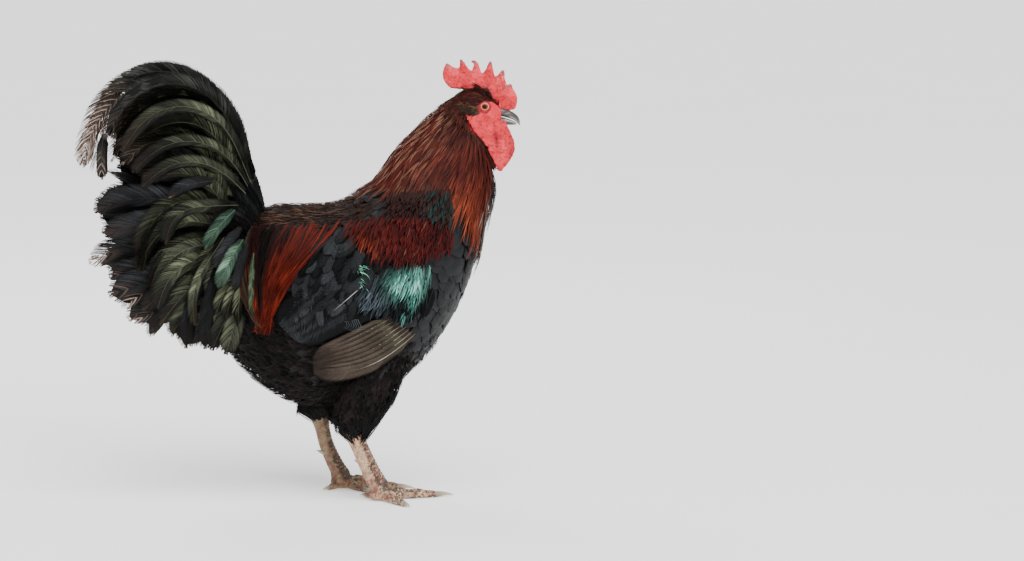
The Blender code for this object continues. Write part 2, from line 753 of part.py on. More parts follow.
def leg_frame(side):
    """How far back this side's leg stands from the right one."""
    return 0.0 if side < 0 else -LEG_STEP


def shank_solid(side, grow=0.0):
    """The scaled shank, with a shallow step at each scute."""
    t = np.repeat(np.linspace(0, 1, SCUTES + 1), 2)[1:-1]
    t = t + np.tile([0.0, -SCUTE_REACH], len(t) // 2)
    row = smooth(SHANK, np.clip(t, 0, 1) * (len(SHANK) - 1))
    across, along = row[:, 4] * SHANK_BROAD[mirrored(side)], row[:, 3] * SHANK_BROAD[mirrored(side)]
    step = np.tile([SCUTE_STEP, 0.0], len(t) // 2)
    path = np.stack([row[:, 0] + leg_frame(side), side * row[:, 1], row[:, 2]], -1)
    if grow:
        tangent = unit(np.gradient(path, axis=0))
        path[0] -= tangent[0] * grow
        path[-1] += tangent[-1] * grow
    return sweep("shank", path, across + grow, along + step + grow, "shank")


def spur_solid(side):
    """The horn spur on the inner, hind side of the shank, cut clear of it."""
    (x, z), length, radius = SPUR
    t = np.linspace(0, 1, 4)
    start = np.array([x + leg_frame(side), side * FOOT[1], z])
    way = np.array(SPUR_WAY) * (1, side, 1)
    path = start + np.outer(t * length, way) + np.outer(t**2 * SPUR_RISE, (0, 0, 1.0))
    thick = radius * (1 - 0.85 * t)
    spur = sweep("spur_" + mirrored(side), path, thick, thick, "horn", 6)
    return boolean(spur, [shank_solid(side, GAP)], "DIFFERENCE")


def toe_path(side, toe):
    """A toe's centre line on the floor, its radii, and the way it points."""
    heading, length, _, radius = TOES[toe]
    way = math.radians(heading)
    ahead = np.array([math.cos(way), side * math.sin(way), 0.0])
    t = np.linspace(0, 1, 7)
    joints = 1 + TOE_JOINTS[1] * np.cos(t * TOE_JOINTS[0] * 2 * math.pi)
    radii = radius * (1 - (1 - TOE_TIP) * t) * joints * (1 - 0.22 * (t == 1))
    start = np.array([FOOT[0] + leg_frame(side), side * FOOT[1], 0.0])
    path = start + np.outer(t * length, ahead)
    path[:, 2] = radii * TOE_SIT + TOE_ROOT_RISE[toe] * (1 - t) ** 2
    return path, radii, ahead


def toe_solid(name, side, toe, grow=0.0):
    """A jointed toe that rests flat on the floor."""
    path, radii, ahead = toe_path(side, toe)
    path[-1] += ahead * grow
    return sweep(name, path, radii + grow, radii + grow, "shank", 8, floor=-grow)


def foot_solids(side):
    """The sole pad, the four toes and their claws."""
    name = mirrored(side)
    centre = (FOOT[0] + leg_frame(side), side * FOOT[1], PAD_HEIGHT)
    pad = ball("foot_" + name, centre, PAD_RADIUS, "shank", 7, 14, floor=0.0)
    boolean(pad, [shank_solid(side, GAP)], "DIFFERENCE")
    done = []
    for toe, (_, _, claw, _) in TOES.items():
        path, radii, ahead = toe_path(side, toe)
        piece = toe_solid(f"toe_{toe}_{name}", side, toe)
        grown = np.array(PAD_RADIUS) + GAP
        others = [ball("cutter", centre, grown, "shank", 7, 14), shank_solid(side, GAP)]
        others += [toe_solid("cutter", side, other, GAP) for other in done]
        boolean(piece, others, "DIFFERENCE")
        done.append(toe)
        t = np.linspace(0, 1, 4)
        start = path[-1] - ahead
        curve = start + np.outer(t * claw, ahead)
        drop = start[2] - CLAW_TIP_HEIGHT
        curve[:, 2] = start[2] + CLAW_ARCH * np.sin(t * math.pi * 0.8) - drop * t**1.6
        thick = radii[-1] * (0.92 - 0.8 * t**1.2)
        nail = sweep(f"claw_{toe}_{name}", curve, thick * 0.8, thick, "horn", 6, floor=0.0)
        boolean(nail, [toe_solid("cutter", side, toe, GAP)], "DIFFERENCE")


def thigh_solid(side):
    """The feathered drumstick, clear of the flank, the wing and the shank that leaves it."""
    table = np.array(THIGH, float)
    table[:, [0, 2]] += leg_frame(side)
    name = "thigh_" + mirrored(side)
    numbers = np.linspace(0, len(THIGH) - 1, 8)
    thigh = fan_solid(name, table, "black", 14, numbers, THIGH_FULLNESS, side=side)
    boolean(thigh, [body_cutter()], "DIFFERENCE")
    boolean(thigh, [wing_shield(side, GAP)], "DIFFERENCE")
    boolean(thigh, [fused(wing_vanes(side, GAP))], "DIFFERENCE")
    boolean(thigh, [shank_solid(side, GAP)], "DIFFERENCE")
    return thigh


def lid_ring(side):
    """The raised rim of the eye's lids, laid on the side of the head."""
    steps, sides = 12, 5
    around = np.arange(sides) * 2 * math.pi / sides
    points = []
    for turn in np.arange(steps) * 2 * math.pi / steps:
        out = np.array([math.cos(turn), 0, math.sin(turn)])
        x, z = EYE[0] + out[0] * LID_RADIUS, EYE[1] + out[2] * LID_RADIUS
        surface = flank([x], [z], HEAD, HEAD_FULLNESS)[0]
        middle = np.array([x, side * (surface + LID_LIFT), z])
        ring = middle + np.outer(np.cos(around) * LID_THICK, out)
        points.append(ring + np.outer(np.sin(around) * LID_THICK, (0, 1, 0)))
    faces = []
    for i in range(steps):
        for k in range(sides):
            j = (i + 1) % steps
            a, b = i * sides + k, i * sides + (k + 1) % sides
            faces.append((a, b, j * sides + (k + 1) % sides, j * sides + k))
    return solid("lid", np.array(points).reshape(-1, 3), faces, "comb")


def eye_ball(name, side, grow=0.0):
    """An eyeball set in the head."""
    radius = EYE_RADIUS + grow
    return ball(name, (EYE[0], side * EYE_OUT, EYE[1]), (radius,) * 3, "iris", 7, 12)


def head_solid(name="cutter", grow=0.0):
    """The plain head, which may be grown to cut its neighbours."""
    numbers = np.linspace(0, len(HEAD) - 1, 9)
    return fan_solid(name, HEAD, "comb", 16, numbers, HEAD_FULLNESS, grow)


def wattle_solid(side, grow=0.0):
    """A wattle before its neighbours are cut from it."""
    numbers = np.linspace(0, len(WATTLE) - 1, 7)
    return fan_solid("wattle", WATTLE, "comb", 8, numbers, grow=grow, side=side)


def lobe_solid(side, grow=0.0):
    """An ear lobe before its neighbours are cut from it."""
    numbers = np.linspace(0, len(LOBE) - 1, 6)
    return fan_solid("lobe", LOBE, "comb", 8, numbers, grow=grow, side=side)


def build_head():
    """The head with its lids and eye sockets, and what grows on it."""
    head = head_solid("head")
    boolean(head, [lid_ring(1), lid_ring(-1)], "UNION")
    boolean(head, [eye_ball("cutter", 1, GAP), eye_ball("cutter", -1, GAP)], "DIFFERENCE")
    upper = fan_solid("beak_upper", UPPER_BILL, "horn", 12)
    pits = []
    for side in (1, -1):
        place = (NOSTRIL[0], side * NOSTRIL_OUT, NOSTRIL[1])
        pits.append(ball("cutter", place, NOSTRIL_SIZE, "horn", 5, 8))
    boolean(upper, [head_solid(grow=GAP), *pits], "DIFFERENCE")
    lower = fan_solid("beak_lower", LOWER_BILL, "horn", 12)
    boolean(lower, [head_solid(grow=GAP)], "DIFFERENCE")
    comb = fan_solid("comb", comb_table(), "comb", 6)
    bill = fan_solid("cutter", UPPER_BILL, "horn", 12, grow=GAP)
    boolean(comb, [head_solid(grow=GAP), bill], "DIFFERENCE")
    for side in (1, -1):
        name = mirrored(side)
        eye_ball("eye_" + name, side)
        bill = fan_solid("cutter", LOWER_BILL, "horn", 12, grow=GAP)
        wattle = wattle_solid(side)
        wattle.name = "wattle_" + name
        boolean(wattle, [head_solid(grow=GAP), bill, throat_solid()], "DIFFERENCE")
        lobe = lobe_solid(side)
        lobe.name = "earlobe_" + name
        boolean(lobe, [head_solid(grow=GAP), wattle_solid(side, GAP), throat_solid()], "DIFFERENCE")


def build_trunk():
    """Neck, torso, wings and tail."""
    neck = trunk_piece("neck", 0.0, NECK_END, "copper", hackle_depth)
    cape = fused(hackle_vanes())
    for side in (1, -1):
        boolean(cape, [lobe_solid(side, GAP)], "DIFFERENCE", whole=True)
        boolean(cape, [wattle_solid(side, GAP)], "DIFFERENCE", whole=True)
    boolean(neck, [cape], "UNION")
    boolean(neck, [head_solid(grow=GAP)], "DIFFERENCE")
    boolean(neck, [body_cutter(GAP, body_numbers(NECK_END - 0.02, RUMP_END))], "DIFFERENCE")
    for side in (1, -1):
        wing = wing_shield(side)
        wing.name = "wing_" + mirrored(side)
        boolean(wing, wing_vanes(side), "UNION")
        boolean(wing, [body_cutter()], "DIFFERENCE")
        boolean(wing, [fused(hackle_vanes(GAP))], "DIFFERENCE")
    saddle = fused(saddle_vanes(1) + saddle_vanes(-1))
    for side in (1, -1):
        boolean(saddle, [wing_shield(side, GAP)], "DIFFERENCE", whole=True)
        boolean(saddle, [fused(wing_vanes(side, GAP))], "DIFFERENCE", whole=True)
    torso = trunk_piece("torso", NECK_END, RUMP_END, "black")
    boolean(torso, [saddle], "UNION")
    tail = trunk_piece("tail", RUMP_END, len(BODY) - 1, "black")
    boolean(tail, tail_vanes(1) + tail_vanes(-1), "UNION")
    boolean(tail, [body_cutter(GAP, body_numbers(NECK_END, RUMP_END))], "DIFFERENCE")


def build_legs():
    """Thighs, shanks and feet."""
    for side in (1, -1):
        thigh_solid(side)
        shank = shank_solid(side)
        shank.name = "shank_" + mirrored(side)
        spur_solid(side)
        foot_solids(side)


def main():
    for thing in list(bpy.data.objects):
        bpy.data.objects.remove(thing)
    build_head()
    build_trunk()
    build_legs()
    for thing in bpy.data.objects:
        thing.data.shade_smooth()
        thing.data.set_sharp_from_angle(angle=SHARP_EDGE)


main()
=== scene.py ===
import math

import bmesh
import bpy
import numpy as np
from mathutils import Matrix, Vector, noise


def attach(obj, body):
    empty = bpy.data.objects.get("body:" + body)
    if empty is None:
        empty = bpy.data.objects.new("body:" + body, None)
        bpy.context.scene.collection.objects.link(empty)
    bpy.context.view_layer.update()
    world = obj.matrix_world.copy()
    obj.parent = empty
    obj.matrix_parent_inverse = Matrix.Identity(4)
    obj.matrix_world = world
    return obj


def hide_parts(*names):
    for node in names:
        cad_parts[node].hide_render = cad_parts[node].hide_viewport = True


# A Marans cock standing square, dressed: one skin, its feathers in tiers, scaled legs and horn.
# Sizes are millimetres and become metres where a mesh is made. +X is ahead, +Y the bird's left.

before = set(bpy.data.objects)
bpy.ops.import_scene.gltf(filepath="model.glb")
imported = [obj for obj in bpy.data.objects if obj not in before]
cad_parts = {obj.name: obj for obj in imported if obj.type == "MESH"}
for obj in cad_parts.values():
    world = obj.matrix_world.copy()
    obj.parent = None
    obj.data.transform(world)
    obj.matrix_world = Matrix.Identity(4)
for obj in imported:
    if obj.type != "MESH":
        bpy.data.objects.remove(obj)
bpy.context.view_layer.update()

MM = 0.001
HANDS = ((1, "left"), (-1, "right"))
CAMERA_PLACE = (0.05, -4.0, 0.80)
CAMERA_AIM = (0.2705, 0.0, 0.2738)
CAMERA_LENS = 111.7
FLOOR_REACH = 30.0
# The wing's solid keeps this far from the flank
GAP = 0.35

# The bird's forms, as its solids have them: back x, back z, front x, front z, half width
BODY = (
    (197, 507, 240, 466, 20), (173, 492, 246, 424, 27), (145, 466, 247, 392, 34),
    (121, 441, 243, 371, 42), (104, 416, 238, 349, 50), (87, 396, 231, 320, 58),
    (66, 382, 220, 286, 66), (45, 374, 201, 240, 73), (20, 372, 167, 187, 78),
    (-3, 372, 119, 144, 80), (-21, 372, 59, 117, 78), (-34, 370, 5, 117, 71),
    (-44, 366, -35, 135, 60), (-54, 361, -68, 161, 47), (-66, 352, -94, 196, 35),
    (-86, 340, -110, 234, 25), (-104, 322, -116, 270, 13),
)
BODY_FULLNESS = 0.12
HEAD = (
    (197, 507, 240, 466, 19), (209, 514, 242, 464, 19.5), (221, 517, 245, 465, 19),
    (234, 515, 249, 467, 18), (245, 508, 253, 471, 15), (252, 501, 256, 475, 11),
    (256, 496, 257, 480, 7.5),
)
HEAD_FULLNESS = 0.15
UPPER_BILL = (
    (249, 499, 249, 484.5, 7.8), (258, 494.5, 257.5, 483, 7.2), (265, 491.5, 264, 481.4, 6.2),
    (272, 488, 270.5, 479.4, 5.0), (277.5, 483.5, 275, 476.8, 3.4), (280.3, 478, 278, 473.6, 2.0),
    (280.9, 473, 279.6, 471.2, 0.7),
)
LOWER_BILL = (
    (250, 483.6, 251, 474, 6.7), (258.5, 482, 259.5, 472.6, 5.9), (265, 480, 266, 472.2, 4.6),
    (271, 477.8, 271.5, 472.0, 3.0), (276.6, 474.8, 275.8, 472.2, 0.9),
)
NOSTRIL = (262.5, 488.2)
EYE = (235.2, 496.7)
EYE_RADIUS = 5.6
EYE_OUT = 13.4
# The comb's edge from the back lobe over its six points to the front, and its foot in the skull
COMB_EDGE = (
    (208.5, 517.1), (199.7, 517.8), (193.2, 519.0), (188.1, 522.8), (184.6, 528.3),
    (183.0, 534.9), (183.4, 540.0), (185.1, 545.1), (186.9, 549.0), (188.1, 550.6),
    (191.0, 549.6), (194.6, 546.8), (199.0, 544.7), (203.8, 543.9), (204.5, 547.3),
    (204.4, 552.4), (205.1, 556.0), (207.3, 555.4), (209.6, 552.4), (212.6, 547.6),
    (216.5, 543.2), (220.4, 540.0), (221.0, 544.4), (222.2, 548.4), (221.9, 550.5),
    (219.7, 550.6), (218.6, 552.7), (221.3, 554.4), (224.6, 553.9), (227.4, 550.8),
    (229.2, 547.3), (230.1, 542.9), (232.1, 537.4), (234.4, 538.5), (238.4, 544.4),
    (241.0, 550.5), (243.0, 553.4), (245.2, 551.4), (246.1, 546.6), (247.3, 540.0),
    (249.3, 533.0), (253.7, 536.8), (256.9, 540.9), (259.2, 542.3), (261.3, 540.0),
    (261.3, 534.9), (262.1, 528.3), (264.5, 522.2), (266.5, 524.0), (268.5, 524.5),
    (270.4, 522.8), (271.5, 518.4), (274.8, 513.7), (277.0, 507.9), (277.3, 502.1),
    (276.3, 496.3), (273.8, 491.6), (266.8, 490.0), (258.0, 490.0), (253, 496), (241, 505),
    (228, 509), (213, 509),
)
COMB_TIPS = ((269, 525), (259.5, 542), (243, 553.5), (222, 553), (205.5, 556), (188, 550.5))
# The bare face: round the eye, the ear and down the throat to the wattles
FACE_EDGE = (
    (207.7, 487.8), (216, 485.5), (224.5, 485.8), (229.2, 488.2), (226.8, 497.0),
    (230.1, 503.3), (243.5, 502.5), (251.0, 498.4), (254.4, 494.1), (265.3, 491.5),
    (285.7, 491.5), (285.7, 405), (251.5, 411.5), (248, 420), (243.5, 433), (237.5, 447), (231.8, 455.1),
    (217.2, 469.7),
)
WATTLE = (
    (262, 478, 239, 481, 2.0, 11.5), (268.5, 463, 236.5, 465, 2.8, 12.0),
    (273.8, 449, 237.5, 448, 3.2, 11.5), (271.8, 435.5, 243, 434, 3.2, 11.0),
    (263.5, 422, 249.5, 420.5, 2.6, 10.5), (257, 414.5, 253, 414, 1.2, 10.0),
)
LOBE = (
    (230, 491, 209, 491, 1.8, 21.5), (236, 479, 214.5, 478, 2.8, 21.5),
    (240, 466, 222, 465, 2.8, 19.5), (243, 456, 231, 453, 2.4, 15.5),
    (244, 448, 237, 446, 1.2, 14.0),
)
WING_CENTRE = (88, 268)
WING_HALF = (110, 82)
WING_TILT = math.radians(20)
WING_THICK = 13.0
WING_EDGE = 1.6
THIGH = (
    (143, 205, 50, 200, 20, 34), (140, 176, 44, 166, 25, 40), (130, 152, 43, 137, 29, 43),
    (118, 124, 43, 112, 25, 44), (99, 101, 43, 94, 18, 44), (85, 83, 48, 79, 13, 44),
)
# Where the last of each thigh's down ends on the shank, on the left and on the right
THIGH_GOAL = {1: (28, 44, 84), -1: (73, -44, 70)}
LEG_STEP = 48
SHANK = (
    (61, 44, 101, 10.0, 8.6), (76.5, 43.5, 66, 9.8, 8.2), (91.5, 42.5, 32, 10.8, 8.8),
    (100, 42, 17, 12.2, 9.8),
)
SHANK_BROAD = {-1: 1.07, 1: 0.93}
SPUR = ((82, 46), 16, 4.6)
FOOT = (102, 42)
PAD_RADIUS = (16, 13.5, 10.5)
PAD_HEIGHT = 8.6
ANKLE_RADIUS = (12.8, 10.2, 12.5)
TOES = {
    "middle": (-12, 72, 14, 7.5),
    "inner": (-50, 47, 12, 6.5),
    "outer": (57, 53, 12, 6.7),
    "hind": (-137, 25, 10, 5.9),
}
TOE_TIP = 0.66
# How far the skin lies inside the body's outline: under the hackle, and under the body's coat
HACKLE_DEPTH = 5.5
COAT_DEPTH = 6.0
# The head's and the body's forms in one run, from the brow down to the vent
CAPE = HEAD[:0:-1][2:] + BODY
CAPE_START = len(HEAD) - 3
# Where the cape ends: stations by how far round the side from the back (0) to the throat (1)
CAPE_EDGE = ((0, 0.25, 0.5, 0.73, 0.96, 1), (6.3, 4.9, 4.4, 4.9, 5.9, 6.0))
# The groin's down, which fills the space between the thighs
GROIN = ((18, 140, 96, 140, 24), (28, 116, 88, 116, 22), (32, 100, 76, 98, 20), (40, 92, 64, 88, 12))
# The red shoulder and the gleaming bar below it, in the side view
BOW_EDGE = (
    (55, 334), (61, 351), (93, 356), (130, 362), (167, 363), (192, 345), (197, 324), (186, 312),
    (152, 301), (134, 299), (93, 304), (84, 317),
)
SHOULDER_EDGE = (
    (114, 387), (192, 390), (195, 349), (175, 359), (142, 364), (114, 359),
)
BAR_EDGE = (
    (77, 278), (93, 279), (108, 290), (120, 299), (142, 299), (166, 294),
    (162, 265), (154, 252), (145, 239), (122, 239), (111, 248), (90, 251), (77, 264),
)
SCAPULAR_EDGE = (
    (30, 331), (53, 347), (68, 344), (78, 326), (93, 298), (81, 271),
    (59, 255), (25, 255), (2, 263), (4, 286), (17, 306),
)
# The fall of the saddle's hackles: its rear and its front edge, from the back to where they gather
SADDLE_REAR = (
    (-59, 354), (-64, 336), (-64, 310), (-60, 282), (-54, 254), (-47, 232),
    (-43, 216),
)
SADDLE_FRONT = (
    (57, 360), (46, 343), (25, 319), (-1, 291), (-17, 267), (-32, 238),
    (-39, 215),
)
# The tail's tiers on each side, as in the solids but with more feathers: number, first and last
# root, heading, turn, length, width, distance out at the root and along the vane, straight share,
# tint and how worn the first and the last are
TAIL_TIERS = {
    "great_sickle": (2, (-53, 344.6), (-58, 343), (104.4, 105), (155.3, 151),
        (412.6, 388), (23, 23), (4, 6), (13, 21), 0.214, "sooty", (1.5, 1.2)),
    "lesser_sickle": (7, (-58, 345), (-74, 325), (104, 112), (144, 92), (330, 172),
        (26, 24), (8, 16), (26, 38), 0.28, "olive", (0.5, 0.2)),
    "curved_covert": (6, (-64, 346), (-82, 308), (138, 172), (118, 84), (194, 134),
        (25, 23), (16, 20), (38, 44), 0.05, "olive", (0.2, 0.1)),
    "main_tail": (10, (-84, 325), (-90, 292), (116, 214), (14, 6), (208, 140),
        (46, 42), (4, 9), (6, 22), 0.0, "slate", (0.2, 0.6)),
    "long_hanger": (8, (-78, 318), (-66, 275), (205, 252), (24, 6), (146, 92),
        (27, 25), (16, 28), (34, 44), 0.0, "olive", (0.2, 0.1)),
    "upper_hanger": (7, (-64, 342), (-64, 292), (196, 248), (44, 12), (94, 70),
        (22, 20), (30, 38), (46, 50), 0.0, "olive", (0.1, 0.1)),
    "root_covert": (22, (-47, 352), (-66, 330), (101, 178), (12, 40), (68, 46),
        (17, 17), (12, 36), (20, 46), 0.0, "black", (0.1, 0.1)),
}
# Single feathers: root, heading, turn, length, straight share, width, distances out, tint, wear
TAIL_SINGLES = (
    ((-54, 405), 112, 163, 368, 0.14, 21, (10, 19), "sooty", 1.6),
    ((-57, 400), 108, 135, 291, 0.16, 27, (14, 32), "sooty", 0.3),
    ((-59, 403), 111, 128, 236, 0.13, 17, (22, 44), "olive", 0.2),
    ((-62, 398), 119, 108, 182, 0.02, 18, (26, 48), "olive", 0.2),
    ((-65, 390), 134, 90, 152, 0.08, 18, (30, 51), "olive", 0.2),
    ((-105, 408), 183, 38, 60, 0.03, 20, (50, 54), "slate", 0.4),
    ((-92, 359), 161, 42, 169, 0.25, 34, (20, 32), "slate", 0.2),
    ((-92, 349), 169, 28, 152, 0.0, 34, (26, 36), "slate", 0.2),
    ((-97, 326), 173, 30, 170, 0.0, 30, (14, 24), "black", 0.8),
    ((-97, 298), 190, 25, 137, 0.0, 27, (16, 28), "black", 1.0),
    ((-93, 288), 205, 32, 126, 0.11, 20, (20, 32), "black", 0.3),
    ((-74, 377), 181, 82, 118, 0.31, 20, (44, 54), "olive", 0.2),
    ((-97, 326), 239, 24, 138, 0.0, 22, (40, 50), "black", 0.1),
    ((-84, 320), 244, 22, 129, 0.0, 24, (44, 52), "black", 0.1),
    ((-92, 337), 236, 41, 120, 0.26, 13, (50, 56), "olive", 0.2),
    ((-70, 350), 228, 16, 60, 0.0, 16, (52, 57), "slate", 0.2),
    # Painted sheen: the green-tinted coverts here stand for the green gloss where the light catches them
    ((-78, 372), 222, 22, 62, 0.0, 20, (54, 58), "mint", 0.2),
    ((-68, 335), 236, 12, 68, 0.0, 19, (54, 58), "mint", 0.2),
    ((-62, 330), 250, 6, 60, 0.0, 14, (55, 58), "slate", 0.2),
    ((-55, 318), 264, 8, 78, 0.0, 8, (57, 60), "pale", 0.2),
    ((-242, 462), 262, 12, 55, 0.0, 13, (20, 22), "sooty", 0.6),
)
# From one pale bar to the next on the tail's worn ends
TAIL_BARS = 8.0
# The tail's tints: ground, the painted light on its barbs, how strong and how far along the feather
TAIL_TINTS = {
    "sooty": ("#0d0d0c", "#62645e", 0.8, 0.35), "olive": ("#0b0c09", "#858b6e", 0.75, 0.22),
    "slate": ("#0d0d0e", "#404246", 0.8, 0.4), "black": ("#090909", "#26282a", 0.8, 0.4),
    # Painted sheen: the two green tints stand for the gloss where the light catches a covert
    "mint": ("#15291f", "#84a58c", 0.9, 0.35), "pale": ("#1a2216", "#94ac84", 0.9, 0.3),
}
TAIL_ROLL = math.radians(28)
# Where each cheek's soft fold runs, to its upper end
CHEEKS = (((243, 9.0, 476), (252, 10.5, 470)), ((232, 17.0, 474), (246, 12.5, 462)))
# Tufts on the head: how many, their middle and spread in the side view and its tilt, the way that
# they point, their length, how far they stand out, half width, least place out, dark and light
CROWN_TUFTS = (
    (260, (216.5, 493), (8.6, 5.4), 0.25, (196, 24), (6, 11), 2.0, 0.5, 0.0, ("#140c0a", "#5a4630")),
    (60, (246, 503.5), (8.0, 2.0), 0.8, (112, 18), (4, 8), 0.8, 0.28, 0.0, ("#0f0806", "#2a1410")),
    (150, (235, 512), (9.0, 4.0), 0.8, (150, 22), (5, 9), 1.2, 0.5, 5.4, ("#1a0a07", "#3a170f")),
    (110, (216.5, 491.5), (7.0, 2.0), 0.25, (184, 12), (6, 9), 1.2, 0.6, 24.4, ("#120a08", "#3c2a20")),
)
# How many feathers or strands each part has
HACKLE_ROWS = 34
THROAT_FEATHERS = 220
TUFT_STRANDS = 6
VENT_STRANDS = 14
THIGH_FRONT_STRANDS = 260
THIGH_END_STRANDS = 160
SADDLE_HACKLES = 760
PRIMARIES = 8
SECONDARIES = 9
# The places along a wing feather at which its line is laid
SHARE = np.linspace(0, 1, 21)
LID_STEPS, LID_SIDES = 64, 14
THIGH_FULLNESS = 0.1
# How wide each feather's patch is on the baking map
PATCH = 0.003
# How wide the bars are in which a worn feather's barbs break away
BREAK = 3.6
# Where a large feather's barbs start on its quill, and how much of their pitch they fill
BARE_QUILL = 0.08
BARB_FILL = 0.62
# A blade's cross-section: share of its half width, share of its cup, share of its thickness
LANCE = np.array([(-1, 0, 0), (0, 0, 0.5), (1, 0, 0), (0, 0, -0.5)])
BROAD = np.array([
    (-1, -1, 0), (-0.45, -0.2, 0.5), (0.45, -0.2, 0.5), (1, -1, 0), (0.45, -0.2, -0.5), (-0.45, -0.2, -0.5),
])


def unit(vectors):
    """The vectors at length one."""
    length = np.linalg.norm(vectors, axis=-1, keepdims=True)
    return vectors / np.maximum(length, 1e-9)


def between(pair, share):
    """The value at a share of the way from the first to the last of a pair."""
    first, last = np.asarray(pair[0], float), np.asarray(pair[1], float)
    return first + (last - first) * share


def eased(share):
    """A smooth step from 0 to 1."""
    share = np.clip(share, 0, 1)
    return share * share * (3 - 2 * share)


def bell(value, middle, spread):
    """One at the middle, falling smoothly to nothing on both sides."""
    return np.exp(-(((value - middle) / spread) ** 2))


def turns_of(count):
    """Angles evenly once round."""
    return np.arange(count) * 2 * math.pi / count


def run_along(line):
    """How far along a line each of its points lies."""
    return np.concatenate([[0], np.cumsum(np.linalg.norm(np.diff(line, axis=0), axis=1))])


def read_line(at, run, line):
    """A line's points, or what else it carries, at places along it."""
    return np.stack([np.interp(at, run, line[:, k]) for k in range(3)], -1)


def smooth(table, number):
    """A smooth curve through a table's rows, read at station numbers that need not be whole."""
    rows = np.asarray(table, float)
    number = np.clip(np.asarray(number, float), 0, len(rows) - 1)
    low = np.minimum(number.astype(int), len(rows) - 2)
    t = (number - low)[..., None]
    before, start = rows[np.maximum(low - 1, 0)], rows[low]
    end, after = rows[low + 1], rows[np.minimum(low + 2, len(rows) - 1)]
    return 0.5 * (
        2 * start
        + (end - before) * t
        + (2 * before - 5 * start + 4 * end - after) * t**2
        + (3 * start - before - 3 * end + after) * t**3
    )


class Fan:
    """A form with an oval section at each station, as the solids have it."""

    def __init__(self, table, fullness=0.0, side=1):
        self.table = np.asarray(table, float)
        self.fullness, self.side = fullness, side

    def point(self, number, angle):
        """Places on it. Angle 0 is a station's first end, half a turn its second end."""
        number, angle = np.broadcast_arrays(np.asarray(number, float), np.asarray(angle, float))
        row = smooth(self.table, number)
        first, second, half = row[..., 0:2], row[..., 2:4], row[..., 4]
        out = row[..., 5] if row.shape[-1] > 5 else 0.0
        middle = (first + second) / 2 + (first - second) / 2 * np.cos(angle)[..., None]
        sine = np.sin(angle)
        y = half * sine * (1 + self.fullness * (1 - sine**2))
        return np.stack([middle[..., 0], self.side * (out + y), middle[..., 1]], -1)

    def slopes(self, number, angle):
        """How its surface runs per station and per radian."""
        step = 0.02
        number = np.clip(np.asarray(number, float), step, len(self.table) - 1 - step)
        along = (self.point(number + step, angle) - self.point(number - step, angle)) / (2 * step)
        around = (self.point(number, angle + step) - self.point(number, angle - step)) / (2 * step)
        return along, around

    def normal(self, number, angle):
        """Its outward normals."""
        number, angle = np.broadcast_arrays(np.asarray(number, float), np.asarray(angle, float))
        along, around = self.slopes(number, angle)
        normal = unit(np.cross(around, along))
        middle = (self.point(number, 0 * angle) + self.point(number, 0 * angle + math.pi)) / 2
        return normal * np.sign(np.sum(normal * (self.point(number, angle) - middle), -1, keepdims=True))

    def out_at(self, x, z):
        """How far out its surface lies at places in the side view."""
        row = smooth(self.table, np.linspace(0, len(self.table) - 1, 241))
        back, front, half = row[:, 0:2], row[:, 2:4], row[:, 4]
        across = front - back
        offset = np.stack([np.ravel(x), np.ravel(z)], -1)[:, None, :].astype(float) - back
        turn = across[:, 0] * offset[..., 1] - across[:, 1] * offset[..., 0]
        flips = (turn[:, :-1] > 0) != (turn[:, 1:] > 0)
        found = np.argmax(flips, axis=1)
        pick = np.arange(len(found))
        share = turn[pick, found] / (turn[pick, found] - turn[pick, found + 1] + 1e-12)
        line = (offset * across).sum(-1) / (across**2).sum(-1)
        down = line[pick, found] + share * (line[pick, found + 1] - line[pick, found])
        width = half[found] + share * (half[found + 1] - half[found])
        cosine = np.clip(1 - 2 * down, -1, 1)
        y = width * np.sqrt(1 - cosine**2) * (1 + self.fullness * cosine**2)
        return np.where(flips.any(axis=1), y, 0.0).reshape(np.shape(x))

    def rings(self, numbers, sides, inset=0.0):
        """Rings round it, which may lie inside it by a depth that may differ along it."""
        angles = turns_of(sides)
        depths = np.broadcast_to(inset, np.shape(numbers))
        return np.array([
            self.point(number, angles) - (self.normal(number, angles) * depth if depth else 0)
            for number, depth in zip(numbers, depths)
        ])

    def spots(self, stations, angles, gap, rng, tries):
        """Spots strewn evenly over a part of it, as station numbers and angles."""
        s, a = rng.uniform(*stations, tries), rng.uniform(*angles, tries)
        area = np.linalg.norm(np.cross(*self.slopes(s, a)), axis=1)
        pick = rng.random(tries) < area / area.max()
        s, a = s[pick], a[pick]
        chosen = strewn(self.point(s, a), gap, rng)
        return s[chosen], a[chosen]

    def lines(self, s, a, length, heading, bend, t):
        """Feather lines over it, as stations and angles at shares t of each feather's length."""
        rows = [(s, a)]
        for k in range(1, len(t)):
            now_s, now_a = rows[-1]
            along, around = (np.linalg.norm(slope, axis=-1) for slope in self.slopes(now_s, now_a))
            step = length * (t[k] - t[k - 1])
            way = heading + bend * t[k]
            next_s = now_s + np.cos(way) * step / along
            next_a = now_a + np.sin(way) * step / np.maximum(around, 6.0)
            rows.append((np.clip(next_s, 0, len(self.table) - 1.01), next_a))
        return [np.stack(column, 1) for column in zip(*rows)]

    def unwrap(self, s, a):
        """Its skin laid flat: its length and its round as shares of a square."""
        return 0.02 + 0.96 * np.stack([s / (len(self.table) - 1), (a / (2 * math.pi)) % 1.0], -1)


TRUNK = Fan(BODY, BODY_FULLNESS)
SKULL = Fan(HEAD, HEAD_FULLNESS)
NECK = Fan(CAPE, BODY_FULLNESS)
CROWN = Fan(CAPE, HEAD_FULLNESS)


def leg_back(side):
    """How far back this side's leg stands from the right one."""
    return 0.0 if side < 0 else -LEG_STEP


def thigh_form(side):
    """The thigh, moved to where its leg stands."""
    table = np.array(THIGH, float)
    table[:, [0, 2]] += leg_back(side)
    return Fan(table, THIGH_FULLNESS, side)


